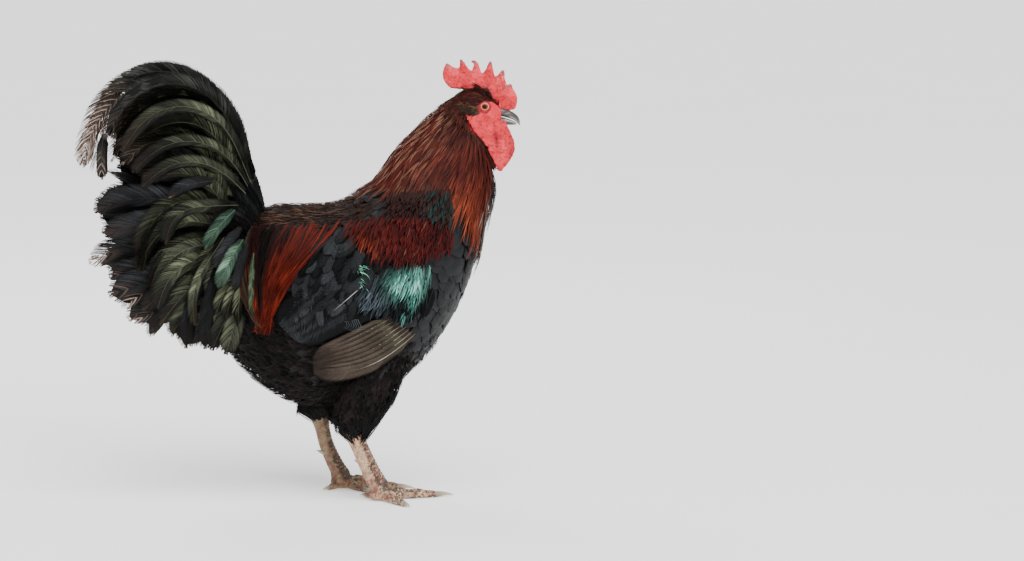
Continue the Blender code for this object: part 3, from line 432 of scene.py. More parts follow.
def wing_oval(x, z):
    """Places in the side view as shares of the folded wing's oval."""
    c, s = math.cos(WING_TILT), math.sin(WING_TILT)
    dx, dz = x - WING_CENTRE[0], z - WING_CENTRE[1]
    return (dx * c + dz * s) / WING_HALF[0], (-dx * s + dz * c) / WING_HALF[1]


def wing_rise(x, z):
    """How far the wing's shield stands out from the flank."""
    u, v = wing_oval(x, z)
    r = np.sqrt(u * u + v * v)
    return np.where(r < 1, WING_EDGE + (WING_THICK - WING_EDGE) * (1 - np.minimum(r, 1) ** 2.4), 0.0)


def wing_cover(x, z):
    """How far out the folded wing's surface lies."""
    return TRUNK.out_at(x, z) + GAP + np.maximum(wing_rise(x, z), 1.5)


def arcs(x, z, heading, turn, length, straight, stations):
    """Planar curves in the side view that turn by an eased amount after a straight share."""
    every = max(1, 80 // (stations - 1))
    steps = (stations - 1) * every
    fine = (np.arange(steps) + 0.5) / steps
    heading, turn, length, straight = (
        np.broadcast_to(v, np.shape(x))[:, None] for v in (heading, turn, length, straight))
    way = np.radians(heading + turn * eased((fine - straight) / (1 - straight)))
    curves = []
    for start, run in ((x, np.cos(way)), (z, np.sin(way))):
        way_gone = np.concatenate([np.zeros((len(way), 1)), np.cumsum(run, 1) * length / steps], 1)
        curves.append((np.asarray(start, float)[:, None] + way_gone)[:, ::every])
    return curves


def depth_in(x, z, edge):
    """How far places in the side view lie inside a closed outline. Outside it is below zero."""
    edge = np.asarray(edge, float)
    place = np.stack([np.ravel(x), np.ravel(z)], -1)[:, None]
    start, way = edge[None], (np.roll(edge, -1, 0) - edge)[None]
    along = np.clip(((place - start) * way).sum(-1) / (way**2).sum(-1), 0, 1)
    far = np.linalg.norm(place - start - way * along[..., None], axis=-1).min(1)
    above = start[..., 1] > place[..., 1]
    rise = np.where(way[..., 1] == 0, 1e-9, way[..., 1])
    at = start[..., 0] + (place[..., 1] - start[..., 1]) * way[..., 0] / rise
    inside = ((above != np.roll(above, -1, 1)) & (place[..., 0] < at)).sum(1) % 2 == 1
    return np.where(inside, far, -far).reshape(np.shape(x))


def strewn(points, gap, rng):
    """Picks points in random order that keep a distance from those already picked."""
    kept = np.empty((len(points), 3))
    chosen = []
    for i in rng.permutation(len(points)):
        near = kept[:len(chosen)] - points[i]
        if not chosen or (near * near).sum(1).min() > gap**2:
            kept[len(chosen)] = points[i]
            chosen.append(i)
    return np.array(chosen)


def spots_in(edge, gap, rng, tries=9000):
    """Places strewn evenly inside an outline in the side view."""
    edge = np.asarray(edge, float)
    place = rng.uniform(edge.min(0), edge.max(0), (tries, 2))
    place = place[depth_in(*place.T, edge) > 0]
    chosen = strewn(np.insert(place, 1, 0.0, 1), gap, rng)
    return place[chosen].T


def paint(code):
    """An sRGB hex value as a linear colour."""
    value = np.array([int(code[i:i + 2], 16) for i in (1, 3, 5)]) / 255
    linear = np.where(value <= 0.04045, value / 12.92, ((value + 0.055) / 1.055) ** 2.4)
    return (*linear.tolist(), 1.0)


def tints(*codes):
    """Several hex values as an array of linear colours."""
    return np.array([paint(code)[:3] for code in codes])


def tint(code):
    """One hex value as a linear colour."""
    return tints(code)[0]


def mixed(first, second, share):
    """Colours a share of the way from one to another, one for each share."""
    share = np.asarray(share, float)[..., None]
    return np.asarray(first) * (1 - share) + np.asarray(second) * share


def mesh_piece(name, points, faces, finish, nodes=()):
    """A finished piece from points in millimetres. It rides on the bird and may replace nodes."""
    mesh = bpy.data.meshes.new(name)
    mesh.from_pydata([tuple(p) for p in np.asarray(points, float) * MM], [], faces)
    shaper = bmesh.new()
    shaper.from_mesh(mesh)
    bmesh.ops.recalc_face_normals(shaper, faces=shaper.faces)
    if shaper.calc_volume(signed=True) < 0:
        bmesh.ops.reverse_faces(shaper, faces=shaper.faces)
    shaper.to_mesh(mesh)
    shaper.free()
    thing = bpy.data.objects.new(name, mesh)
    bpy.context.scene.collection.objects.link(thing)
    if finish is not None:
        settle(thing, finish, nodes)
    return thing


def settle(thing, finish, nodes=(), sharp=40):
    """Gives a piece its finish and its place in the frame."""
    thing.data.materials.clear()
    thing.data.materials.append(finish)
    thing.data.shade_smooth()
    thing.data.set_sharp_from_angle(angle=math.radians(sharp))
    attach(thing, "root")
    if nodes:
        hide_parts(*nodes)
    return thing


def loft_faces(count, sides, start=0):
    """Faces that skin equally long rings and close both ends."""
    faces = []
    for i in range(count - 1):
        for k in range(sides):
            a, b = start + i * sides + k, start + i * sides + (k + 1) % sides
            faces.append((a, b, b + sides, a + sides))
    faces.append(tuple(start + k for k in range(sides)))
    faces.append(tuple(start + (count - 1) * sides + k for k in range(sides)))
    return faces


def loft(name, rings, finish=None, nodes=()):
    """A closed piece skinned over rings."""
    rings = np.asarray(rings, float)
    return mesh_piece(name, rings.reshape(-1, 3), loft_faces(*rings.shape[:2]), finish, nodes)


def remeshed(name, pieces, voxel, rounds):
    """Several closed pieces fused into one even skin, then smoothed."""
    bpy.ops.object.select_all(action="DESELECT")
    for piece in pieces:
        piece.select_set(True)
    bpy.context.view_layer.objects.active = pieces[0]
    bpy.ops.object.join()
    thing = bpy.context.view_layer.objects.active
    thing.name = name
    grid = thing.modifiers.new("even", "REMESH")
    grid.mode = "VOXEL"
    grid.voxel_size = voxel * MM
    soft = thing.modifiers.new("soft", "SMOOTH")
    soft.factor = 0.5
    soft.iterations = rounds
    baked = bpy.data.meshes.new_from_object(thing.evaluated_get(bpy.context.evaluated_depsgraph_get()))
    thing.modifiers.clear()
    thing.data = baked
    return thing


def points_of(thing):
    """A mesh's points in millimetres, and their normals."""
    count = len(thing.data.vertices)
    place, normal = np.empty(count * 3, np.float32), np.empty(count * 3, np.float32)
    thing.data.vertices.foreach_get("co", place)
    thing.data.vertex_normals.foreach_get("vector", normal)
    return place.reshape(-1, 3).astype(float) / MM, normal.reshape(-1, 3).astype(float)


def set_points(thing, place):
    """Moves a mesh's points."""
    thing.data.vertices.foreach_set("co", (np.asarray(place) * MM).astype(np.float32).ravel())
    thing.data.update()


def mark(thing, name, values):
    """Stores one colour, or four numbers, at each point of a mesh."""
    layer = thing.data.attributes.new(name, "FLOAT_COLOR", "POINT")
    values = np.asarray(values, float)
    if values.shape[1] == 3:
        values = np.concatenate([values, np.ones((len(values), 1))], 1)
    layer.data.foreach_set("color", values.astype(np.float32).ravel())


def lance_width(t):
    """A hackle's outline: widest near its root, then drawn out to a point."""
    return np.maximum(np.minimum(1, 0.55 + t * 1.8) * (1 - t**2.6), 0.05)


def leaf_width(t, tip=0.22, least=0.12):
    """A body feather's outline: widening to a broad, rounded tip."""
    end = np.sqrt(np.clip(1 - (np.clip(t - 1 + tip, 0, tip) / tip) ** 2, 0, 1))
    return np.maximum(np.minimum(1, 0.35 + t * 1.3) * end, least)


def vane_half(share, wide, tip):
    """A large feather's half widths: narrower at its root, rounded at its end."""
    end = np.sqrt(np.clip(1 - np.clip((share - 1 + tip) / tip, 0, 1) ** 2, 0.02, 1))
    return wide * np.minimum(1, 0.42 + share * 2.4) * end


class Coat:
    """Thin closed blades gathered into one piece, with the maps that its finish reads."""

    def __init__(self, name):
        self.name = name
        self.parts = []

    def add(self, centre, normal, half, thick, root, tone, colour, section=LANCE, cup=0.0, along=None,
            edge=None):
        """Adds many blades at once: centre lines, normals and half widths by blade and station."""
        count, stations = centre.shape[:2]
        sides = len(section)
        shape = (count, stations, sides)
        tangent = unit(np.gradient(centre, axis=1))
        across = unit(np.cross(normal, tangent))
        up = unit(np.cross(tangent, across))
        half = np.broadcast_to(half, (count, stations))[..., None, None]
        thick = np.broadcast_to(thick, (count, stations))[..., None, None]
        s = section[None, None, :, :, None]
        points = centre[:, :, None] + across[:, :, None] * half * s[..., 0, :]
        points = points + up[:, :, None] * (half * cup * s[..., 1, :] + thick * s[..., 2, :])
        run = np.cumsum(np.linalg.norm(np.diff(centre, axis=1), axis=2), 1)
        run = np.concatenate([np.zeros((count, 1)), run], 1)
        lie = np.stack(np.broadcast_arrays(run[..., None], half[..., 0] * section[:, 0]), -1)
        along = np.linspace(0, 1, stations)[None] if along is None else along
        along = np.broadcast_to(along, (count, stations))[..., None]
        edge = np.abs(section[:, 0]) if edge is None else edge[..., None]
        growth = (np.reshape(tone, (-1, 1, 1)), along, edge)
        growth = np.stack([np.broadcast_to(value, shape) for value in growth], -1)
        patch = np.stack(np.broadcast_arrays(along, (section[:, 0] + 1) / 2), -1) * PATCH
        bake = np.reshape(root, (-1, 1, 1, 2)) * (1 - PATCH) + patch
        colour = np.asarray(colour, float)
        if colour.ndim == 2:
            colour = colour[:, None]
        colour = np.broadcast_to(np.broadcast_to(colour, (count, stations, 3))[:, :, None], (*shape, 3))
        first = (np.arange(count)[:, None, None] * stations + np.arange(stations - 1)[:, None]) * sides
        here = np.arange(sides)
        after = (here + 1) % sides
        quads = np.stack([first + here, first + here + sides, first + after + sides, first + after], -1)
        base = np.arange(count)[:, None] * stations * sides
        caps = np.concatenate([base + here, base + (stations - 1) * sides + here[::-1]])
        blocks = (points, quads, caps, lie, bake, growth, colour)
        self.parts.append([block.reshape(-1, block.shape[-1]) for block in blocks])

    def lay(self, form, s, a, length, width, lift, t, shape=lance_width, heading=0.0, bend=0.0, tone=None,
            colour=None, section=LANCE, cup=0.0, thick=0.8, sink=-7.0, extra=None, wave=0.0):
        """Lays feathers over a form along its lie, from a sunk root to a lifted tip."""
        length, heading, bend = (
            np.broadcast_to(np.asarray(v, float), len(s)) for v in (length, heading, bend))
        number, angle = form.lines(s, a, length, heading, bend, t)
        centre, normal = form.point(number, angle), form.normal(number, angle)
        height = sink + (np.reshape(lift, (-1, 1)) - sink) * (1 - (1 - t) ** 2.2)
        if extra is not None:
            height = height + extra(number, angle, centre, t)
        outline = shape(t) * np.reshape(width, (-1, 1)) / 2 * (1 + wave)
        self.add(centre + normal * height[..., None], normal, outline, thick * (1 - 0.6 * t),
                 form.unwrap(s, a), tone, colour, section, cup)

    def piece(self, finish, slot, nodes=()):
        """Makes the gathered blades one mesh."""
        offset, corners, sizes = 0, [], []
        for points, *blocks in self.parts:
            for block in blocks[:2]:
                corners.append(block.ravel() + offset)
                sizes.append(np.full(len(block), block.shape[1]))
            offset += len(points)
        points, _, _, lie, bake, growth, plumage = (
            None if column in (1, 2) else np.concatenate([part[column] for part in self.parts])
            for column in range(7))
        corners, sizes = np.concatenate(corners), np.concatenate(sizes)
        mesh = bpy.data.meshes.new(self.name)
        mesh.vertices.add(len(points))
        mesh.vertices.foreach_set("co", (points * MM).astype(np.float32).ravel())
        mesh.loops.add(len(corners))
        mesh.loops.foreach_set("vertex_index", corners.astype(np.int32))
        mesh.polygons.add(len(sizes))
        mesh.polygons.foreach_set("loop_start", (np.cumsum(sizes) - sizes).astype(np.int32))
        mesh.update(calc_edges=True)
        for title, values in (("Lie", lie), ("OFBake", bake)):
            layer = mesh.uv_layers.new(name=title)
            layer.uv.foreach_set("vector", values[corners].astype(np.float32).ravel())
        thing = bpy.data.objects.new(self.name, mesh)
        bpy.context.scene.collection.objects.link(thing)
        mark(thing, "growth", growth)
        mark(thing, "plumage", plumage)
        return settle(thing, finish, nodes, 50)


def plume(coat, line, normal, half, root, tone, colour, shaft, gap, rng, cup, splits, shaft_half, web,
          fray=0.0, slant=(50, 26), frays_from=0.45):
    """One large feather: a tapered shaft, a thin web, and barbs that lap on it on both sides.

    Each barb ends on the feather's outline. Where it is worn, bars of barbs are gone."""
    run = run_along(line)
    length, share = run[-1], run / run[-1]
    tangent = unit(np.gradient(line, axis=0))
    outline = np.linspace(0, 1, len(half))
    count = max(6, int(length * (1 - BARE_QUILL) / gap))
    bars = rng.random(int(length / BREAK) + 2)
    s = np.array([0, 0.4, 0.75, 1.0])
    for hand in (-1, 1):
        place = BARE_QUILL + (0.995 - BARE_QUILL) * (np.arange(count) + rng.uniform(0.2, 0.8, count)) / count
        clump = np.cumsum(rng.random(count) < splits)
        loose = np.clip((place - frays_from) / (0.95 - frays_from), 0, 1) * fray
        swing = rng.normal(0, 1, clump.max() + 1)[clump] * np.radians(1.2 + 3.5 * loose)
        gone = bars[(place * length / BREAK).astype(int)] < 0.36 * loose
        place, loose, swing = place[~gone], loose[~gone], swing[~gone]
        if not len(place):
            continue
        here, way, out = (read_line(place, share, v) for v in (line, tangent, normal))
        way = unit(way)
        aside = unit(np.cross(out, way)) * hand
        out = unit(np.cross(way, aside)) * hand
        lean = np.maximum(np.radians(between(slant, place)) + swing, 0.22)
        end = place
        for _ in range(12):
            end = (end + np.minimum(place + np.interp(end, outline, half) / (length * np.tan(lean)), 1.0)) / 2
        reach = (np.interp(end, outline, half) * rng.uniform(0.95, 1.03, len(place)))[:, None]
        forth = ((end - place) * length)[:, None]
        bow = 2 * (1 - s) * s
        beside = reach * (0.56 * bow + s**2)
        droop = cup * beside**2 / np.maximum(reach, 1)
        droop = droop + loose[:, None] * rng.normal(0, 0.05, (len(place), 1)) * beside
        centre = here[:, None] + way[:, None] * (forth * (0.30 * bow + s**2))[..., None]
        centre = centre + aside[:, None] * beside[..., None] - out[:, None] * droop[..., None]
        wide = gap * np.sin(np.maximum(lean, 0.3))[:, None] * BARB_FILL * np.array([1, 1.05, 0.95, 0.5])
        wide = wide * (1 - 0.3 * np.minimum(loose, 1)[:, None])
        own = tone + rng.normal(0, 0.12, len(place))
        tinted = colour(place, loose, hand) if callable(colour) else colour
        coat.add(centre, unit(out + 0.3 * way)[:, None], wide,
                 0.55 * np.array([1, 0.9, 0.7, 0.4]), root, own, tinted, along=place[:, None], edge=s[None])
    at = np.linspace(0.02, frays_from if fray > 0.6 else 0.97, 12)
    spine, face = (read_line(at, share, v) for v in (line, normal))
    wide = np.interp(at, outline, half) * np.array([0.93] * 11 + [0.3])
    coat.add((spine - face * 0.4)[None], face[None], wide, 0.3, root, tone, web, BROAD, cup, at)
    taper = shaft_half * np.linspace(1, 0.18, len(line))
    coat.add((line + normal * 0.15)[None], normal[None], taper, 1.5 * taper, root, tone, shaft,
             edge=np.zeros((1, 1)), along=share)


def wire(tree, node, inputs):
    """Sets a node's inputs, by name or in order: to a value, a hex colour or another node's output."""
    for key, value in inputs.items() if isinstance(inputs, dict) else enumerate(inputs):
        if isinstance(value, bpy.types.Node):
            value = next(socket for socket in value.outputs if socket.enabled)
        if isinstance(value, bpy.types.NodeSocket):
            tree.links.new(value, node.inputs[key])
        else:
            node.inputs[key].default_value = paint(value) if isinstance(value, str) else value


def add(tree, kind, inputs=(), stops=(), **settings):
    """Adds a shader node with its settings, and sets or links its inputs."""
    made = tree.nodes.new("ShaderNode" + kind)
    for key, value in settings.items():
        setattr(made, key, value)
    wire(tree, made, inputs)
    if stops:
        while len(made.color_ramp.elements) < len(stops):
            made.color_ramp.elements.new(0.5)
        for element, (position, code) in zip(made.color_ramp.elements, stops):
            element.position = position
            element.color = paint(code)
    return made


def new_finish(name, roughness, ior=1.5, **more):
    """A material with its shader, ready for its colour and relief."""
    finish = bpy.data.materials.new(name)
    finish.use_nodes = True
    tree = finish.node_tree
    shader = tree.nodes["Principled BSDF"]
    wire(tree, shader, {"Roughness": roughness, "IOR": ior})
    wire(tree, shader, {key.replace("_", " "): value for key, value in more.items()})
    return finish, tree, shader


def feather_finish(name, roughness, barb, dark_shaft, painted_rim_shade, contrast, relief, slant=2.2, **more):
    """A feather's keratin: fine barbs that slant from the shaft, each with its own tone.

    The eye sees streaks along the barbs, a shade along the shaft, painted shade along the rim where feathers
    meet, and a dull gloss."""
    finish, tree, shader = new_finish(name, roughness, 1.55, **more)
    growth = add(tree, "SeparateColor", [add(tree, "Attribute", attribute_name="growth")])
    own, across = growth.outputs["Red"], growth.outputs["Blue"]
    plumage = add(tree, "Attribute", attribute_name="plumage")
    lie = add(tree, "SeparateXYZ", [add(tree, "UVMap", uv_map="Lie")])
    aside = add(tree, "Math", [lie.outputs["Y"]], operation="ABSOLUTE")
    skew = add(tree, "Math", [aside, -slant, lie.outputs["X"]], operation="MULTIPLY_ADD")
    lane = add(tree, "CombineXYZ", [skew, lie.outputs["Y"], own])
    scaled = add(tree, "VectorMath", [lane, (1 / barb, 0.12 / barb, 40.0)], operation="MULTIPLY")
    streak = add(tree, "TexNoise", {"Vector": scaled, "Scale": 1.0, "Detail": 3.0, "Roughness": 0.65})
    place = add(tree, "TexCoord").outputs["Object"]
    cloud = add(tree, "TexNoise", {"Vector": place, "Scale": 38.0, "Detail": 2.0})
    total = None
    for inputs in (
        (streak, 0.3, 0.7, 1 - contrast, 1 + contrast), (cloud, 0.3, 0.7, 0.75, 1.25),
        (across, 0.05, 0.55, 1 - dark_shaft, 1.0), (own, 0.0, 1.0, 0.7, 1.3),
        # Painted shade: the rim darkens so that the feathers part at their seams
        (across, 0.72, 1.0, 1.0, 1 - painted_rim_shade),
    ):
        factor = add(tree, "MapRange", inputs)
        total = add(tree, "Math", [total, factor], operation="MULTIPLY") if total else factor
    colour = add(tree, "VectorMath", {0: plumage, "Scale": total}, operation="SCALE")
    bump = add(tree, "Bump", {"Strength": relief, "Distance": 0.0006, "Height": streak})
    wire(tree, shader, {"Base Color": colour, "Normal": bump})
    return finish


def skin_finish():
    """A cock's skin: coral-red and grainy where it is bare, dark under the feathers.

    Blood shows through it, so light goes in a little way, and fine warts catch it."""
    finish, tree, shader = new_finish(
        "bare_red_skin_and_feathered_skin", 0.5, 1.42, Specular_IOR_Level=0.3, Subsurface_Weight=0.16,
        Subsurface_Radius=(0.004, 0.0012, 0.0008), Subsurface_Scale=1.0)
    place = add(tree, "TexCoord").outputs["Object"]
    marks = add(tree, "Attribute", attribute_name="marks")
    parts = add(tree, "SeparateColor", [marks])
    under = add(tree, "Attribute", attribute_name="plumage")
    cells = add(tree, "TexVoronoi", {"Vector": place, "Scale": 620.0, "Randomness": 0.9})
    grain = add(tree, "TexNoise", {"Vector": place, "Scale": 260.0, "Detail": 4.0, "Roughness": 0.7})
    broad = add(tree, "TexNoise", {"Vector": place, "Scale": 60.0, "Detail": 3.0, "Roughness": 0.5})
    red = add(tree, "ValToRGB", [broad], ((0.34, "#9c1220"), (0.5, "#d12234"), (0.66, "#ec525d")))
    speck = add(tree, "MapRange", [grain, 0.52, 0.72, 0.0, 1.0])
    tone = add(tree, "Mix", {"Factor": cells, "A": red, "B": "#dc2f36"}, data_type="RGBA")
    # The marks' last number is painted shade, mixed towards a dark red
    for mask, strength, code in (
        (parts.outputs["Green"], speck, "#d9c3bb"), (parts.outputs["Blue"], 0.85, "#7a5558"),
        (marks.outputs["Alpha"], 0.85, "#560a14"),
    ):
        share = add(tree, "Math", [mask, strength], operation="MULTIPLY", use_clamp=True)
        tone = add(tree, "Mix", {"Factor": share, "A": tone, "B": code}, data_type="RGBA")
    whole = add(tree, "Mix", {"Factor": parts.outputs["Red"], "A": under, "B": tone}, data_type="RGBA")
    lumps = add(tree, "Math", [cells, -0.7, grain], operation="MULTIPLY_ADD")
    bump = add(tree, "Bump", {"Strength": 0.5, "Distance": 0.0006, "Height": lumps})
    wire(tree, shader, {"Base Color": whole, "Normal": bump})
    return finish


def horn_finish(name, dark, light, streak_from, tip_from):
    """Horn: dark grown keratin with paler streaks along it, wearing to a pale tip. It gleams dully."""
    finish, tree, shader = new_finish(name, 0.32, 1.54)
    place = add(tree, "TexCoord").outputs["Object"]
    growth = add(tree, "SeparateColor", [add(tree, "Attribute", attribute_name="growth")])
    long = add(tree, "CombineXYZ", [growth.outputs["Green"], growth.outputs["Blue"], 0.0])
    scaled = add(tree, "VectorMath", [long, (5.0, 26.0, 1.0)], operation="MULTIPLY")
    grain = add(tree, "TexNoise", {"Vector": scaled, "Scale": 1.0, "Detail": 4.0, "Roughness": 0.6})
    fine = add(tree, "TexNoise", {"Vector": place, "Scale": 900.0, "Detail": 2.0})
    streak = add(tree, "MapRange", [growth.outputs["Red"], streak_from, 1.0, 0.0, 1.0])
    tip = add(tree, "MapRange", [growth.outputs["Green"], tip_from, 1.0, 0.0, 0.8])
    both = add(tree, "Math", [streak, tip], operation="MAXIMUM")
    uneven = add(tree, "MapRange", [grain, 0.35, 0.65, 0.15, 1.15])
    share = add(tree, "Math", [both, uneven], operation="MULTIPLY", use_clamp=True)
    base = add(tree, "Mix", {"Factor": grain, "A": dark, "B": "#4d4846"}, data_type="RGBA")
    whole = add(tree, "Mix", {"Factor": share, "A": base, "B": light}, data_type="RGBA")
    height = add(tree, "Math", [fine, 0.3, grain], operation="MULTIPLY_ADD")
    bump = add(tree, "Bump", {"Strength": 0.25, "Distance": 0.0004, "Height": height})
    wire(tree, shader, {"Base Color": whole, "Normal": bump})
    return finish


def scale_finish(name, pale, warm, dark, spots):
    """A leg's horny skin: pinkish scales with dark ones among them, dusty and dry."""
    finish, tree, shader = new_finish(name, 0.62, 1.48)
    place = add(tree, "TexCoord").outputs["Object"]
    growth = add(tree, "SeparateColor", [add(tree, "Attribute", attribute_name="growth")])
    lattice = {"Vector": place, "Scale": 430.0, "Randomness": 0.8}
    cells = add(tree, "TexVoronoi", lattice)
    rims = add(tree, "TexVoronoi", lattice, feature="DISTANCE_TO_EDGE")
    cloud = add(tree, "TexNoise", {"Vector": place, "Scale": 120.0, "Detail": 3.0, "Roughness": 0.7})
    fine = add(tree, "TexNoise", {"Vector": place, "Scale": 700.0, "Detail": 3.0})
    even = add(tree, "MapRange", [cloud, 0.36, 0.64])
    blood = add(tree, "Math", [even, growth.outputs["Green"]], operation="MULTIPLY", use_clamp=True)
    pick = add(tree, "SeparateColor", [cells.outputs["Color"]])
    darker = add(tree, "Math", [pick.outputs["Red"], growth.outputs["Blue"]], operation="ADD")
    dim = add(tree, "MapRange", [darker, spots, spots + 0.35, 0.0, 0.9])
    groove = add(tree, "MapRange", [rims, 0.0, 0.14, 0.55, 0.0])
    tone = pale
    for share, code in ((even, warm), (blood, "#7c4638"), (dim, dark), (groove, "#5d4038")):
        tone = add(tree, "Mix", {"Factor": share, "A": tone, "B": code}, data_type="RGBA")
    edge = add(tree, "MapRange", [rims, 0.0, 0.25, 0.0, 1.0])
    height = add(tree, "Math", [fine, 0.25, edge], operation="MULTIPLY_ADD")
    bump = add(tree, "Bump", {"Strength": 0.6, "Distance": 0.0007, "Height": height})
    wire(tree, shader, {"Base Color": tone, "Normal": bump})
    return finish


def eye_finish(side):
    """A wet eye: an orange-brown iris with fine rays, a dark pupil and a dark rim."""
    finish, tree, shader = new_finish(
        "wet_eye", 0.08, 1.38, Specular_IOR_Level=0.12, Coat_Weight=0.1, Coat_Roughness=0.03)
    place = add(tree, "TexCoord").outputs["Object"]
    middle = (EYE[0] * MM, side * EYE_OUT * MM, EYE[1] * MM)
    local = add(tree, "SeparateXYZ", [add(tree, "VectorMath", [place, middle], operation="SUBTRACT")])
    disc = add(tree, "CombineXYZ", [local.outputs["X"], local.outputs["Z"], 0.0])
    reach = add(tree, "VectorMath", [disc], operation="LENGTH").outputs["Value"]
    share = add(tree, "Math", [reach, 1 / (EYE_RADIUS * MM)], operation="MULTIPLY")
    turn = add(tree, "Math", [local.outputs["Z"], local.outputs["X"]], operation="ARCTAN2")
    rays = add(tree, "CombineXYZ", [turn, share, 0.0])
    fine = add(tree, "TexNoise", {"Vector": rays, "Scale": 7.0, "Detail": 3.0})
    bent = add(tree, "Math", [fine, 0.06, share], operation="MULTIPLY_ADD")
    rings = add(tree, "ValToRGB", [bent], (
        (0.0, "#120807"), (0.36, "#160a08"), (0.42, "#3d1c10"), (0.54, "#7d4426"), (0.66, "#a8744c"),
        (0.75, "#5a2e1c"), (0.86, "#22110e"),
    ))
    wire(tree, shader, {"Base Color": rings})
    return finish


def lid_finish():
    """The lids' thin skin: paler and pinker than the face, with fine creases round the eye."""
    finish, tree, shader = new_finish(
        "pale_eyelid_skin", 0.5, 1.42, Subsurface_Weight=0.12, Subsurface_Radius=(0.003, 0.001, 0.0007),
        Subsurface_Scale=1.0)
    place = add(tree, "TexCoord").outputs["Object"]
    grain = add(tree, "TexNoise", {"Vector": place, "Scale": 900.0, "Detail": 3.0})
    tone = add(tree, "ValToRGB", [grain], ((0.3, "#c4685c"), (0.55, "#dd8f7d"), (0.75, "#eab09c")))
    bump = add(tree, "Bump", {"Strength": 0.5, "Distance": 0.0004, "Height": grain})
    wire(tree, shader, {"Base Color": tone, "Normal": bump})
    return finish


def floor_finish():
    """Pale matt studio paper, with a breath of tone so it isn't dead flat."""
    finish, tree, shader = new_finish("pale_studio_paper", 0.9, Emission_Strength=0.4)
    place = add(tree, "TexCoord").outputs["Object"]
    cloud = add(tree, "TexNoise", {"Vector": place, "Scale": 2.0, "Detail": 2.0})
    tone = add(tree, "Mix", {"Factor": cloud, "A": "#f4f4f4", "B": "#fafafa"}, data_type="RGBA")
    wire(tree, shader, {"Base Color": tone})
    return finish


def stand(name, data, way, place=(0, 0, 0)):
    """Puts a light or the camera at its place, looking along a way."""
    thing = bpy.data.objects.new(name, data)
    thing.location = place
    thing.rotation_euler = Vector(way).to_track_quat("-Z", "Y").to_euler()
    bpy.context.scene.collection.objects.link(thing)
    return thing


def build_stage():
    """The floor, the soft light and the camera at the photograph's angle."""
    mesh = bpy.data.meshes.new("floor")
    corners = [(x * FLOOR_REACH, y * FLOOR_REACH, 0) for x, y in ((-1, -1), (1, -1), (1, 1), (-1, 1))]
    mesh.from_pydata(corners, [], [(0, 1, 2, 3)])
    floor = bpy.data.objects.new("floor", mesh)
    mesh.materials.append(floor_finish())
    bpy.context.scene.collection.objects.link(floor)
    world = bpy.data.worlds.new("studio")
    bpy.context.scene.world = world
    world.use_nodes = True
    wire(world.node_tree, world.node_tree.nodes["Background"], {"Color": (1, 1, 1, 1), "Strength": 0.55})
    sky = bpy.data.lights.new("ceiling_light", "SUN")
    sky.energy = 3.6
    sky.angle = math.radians(50)
    stand("ceiling_light", sky, (-0.5, 1.2, -2.4))
    bird = Vector((0, 0, 0.28))
    for name, place, size, power in (
        ("key_light", (1.0, -2.6, 1.9), 1.2, 45), ("rim_light", (-0.9, 1.8, 2.4), 1.4, 30),
    ):
        data = bpy.data.lights.new(name, "AREA")
        data.energy = power
        data.size = size
        stand(name, data, bird - Vector(place), place)
    data = bpy.data.cameras.new("camera")
    data.sensor_width = 36
    data.lens = CAMERA_LENS
    way = Vector(CAMERA_AIM) - Vector(CAMERA_PLACE)
    bpy.context.scene.camera = stand("camera", data, way, CAMERA_PLACE)


def build_comb():
    """The comb: a fleshy leaf, thickest at its foot, thinning to soft edges and points."""
    edge = np.array(COMB_EDGE)
    count = len(edge)
    points = np.concatenate([np.insert(edge, 1, y, 1) for y in (-1.2, 1.2)])
    faces = [(i, (i + 1) % count, (i + 1) % count + count, i + count) for i in range(count)]
    faces += [tuple(range(count)), tuple(range(count, 2 * count))]
    comb = remeshed("comb", [mesh_piece("comb_leaf", points, faces, None)], 0.7, 3)
    place, _ = points_of(comb)
    deep = np.maximum(depth_in(place[:, 0], place[:, 2], edge), 0)
    foot = eased((532 - place[:, 2]) / 26)
    place[:, 1] *= (1.3 + (2.2 + 1.6 * foot) * (1 - np.exp(-deep / 4.0))) / 1.2
    set_points(comb, place)
    return comb


def comb_foot(x):
    """The height at which the comb grows from the crown."""
    return 519.5 - 2.1 * np.maximum(x - 240, 0)


def bare_share(place):
    """Where the head's skin is bare: the face, comb, lobes and wattles, not the crown and nape."""
    x, y, z = place.T
    bare = np.zeros(len(place))
    near = (z > 395) & (x > 178)
    x, y, z = x[near], y[near], z[near]
    comb = np.where((np.abs(y) < 6.5) & (z > comb_foot(x)), depth_in(x, z, COMB_EDGE) + 1.5, -9)
    bare[near] = eased((np.maximum(depth_in(x, z, FACE_EDGE), comb) + 0.8) / 1.6)
    return bare


def hackle_depth(number):
    """How far the neck's skin lies inside its hackle."""
    number = np.asarray(number, float)
    on_neck = HACKLE_DEPTH * eased((number + 0.6) / 1.4)
    return on_neck + (COAT_DEPTH - on_neck) * eased((number - 4.4) / 1.0)


def ripple(place, scale):
    """Smooth noise at places."""
    return np.array([noise.noise(Vector(p) * scale) for p in place])


def sweep_rings(path, across, along, sides, floor=None):
    """Oval rings square to a path."""
    tangent = unit(np.gradient(path, axis=0))
    sideways = unit(np.cross(tangent, np.array([0.0, 0.0, 1.0])) + np.array([0.0, 1e-6, 0.0]))
    upward = unit(np.cross(sideways, tangent))
    turns = turns_of(sides)
    rings = []
    for i, centre in enumerate(path):
        ring = centre + np.outer(np.cos(turns) * along[i], upward[i])
        ring = ring + np.outer(np.sin(turns) * across[i], sideways[i])
        if floor is not None:
            ring[:, 2] = np.maximum(ring[:, 2], floor)
        rings.append(ring)
    return np.array(rings)


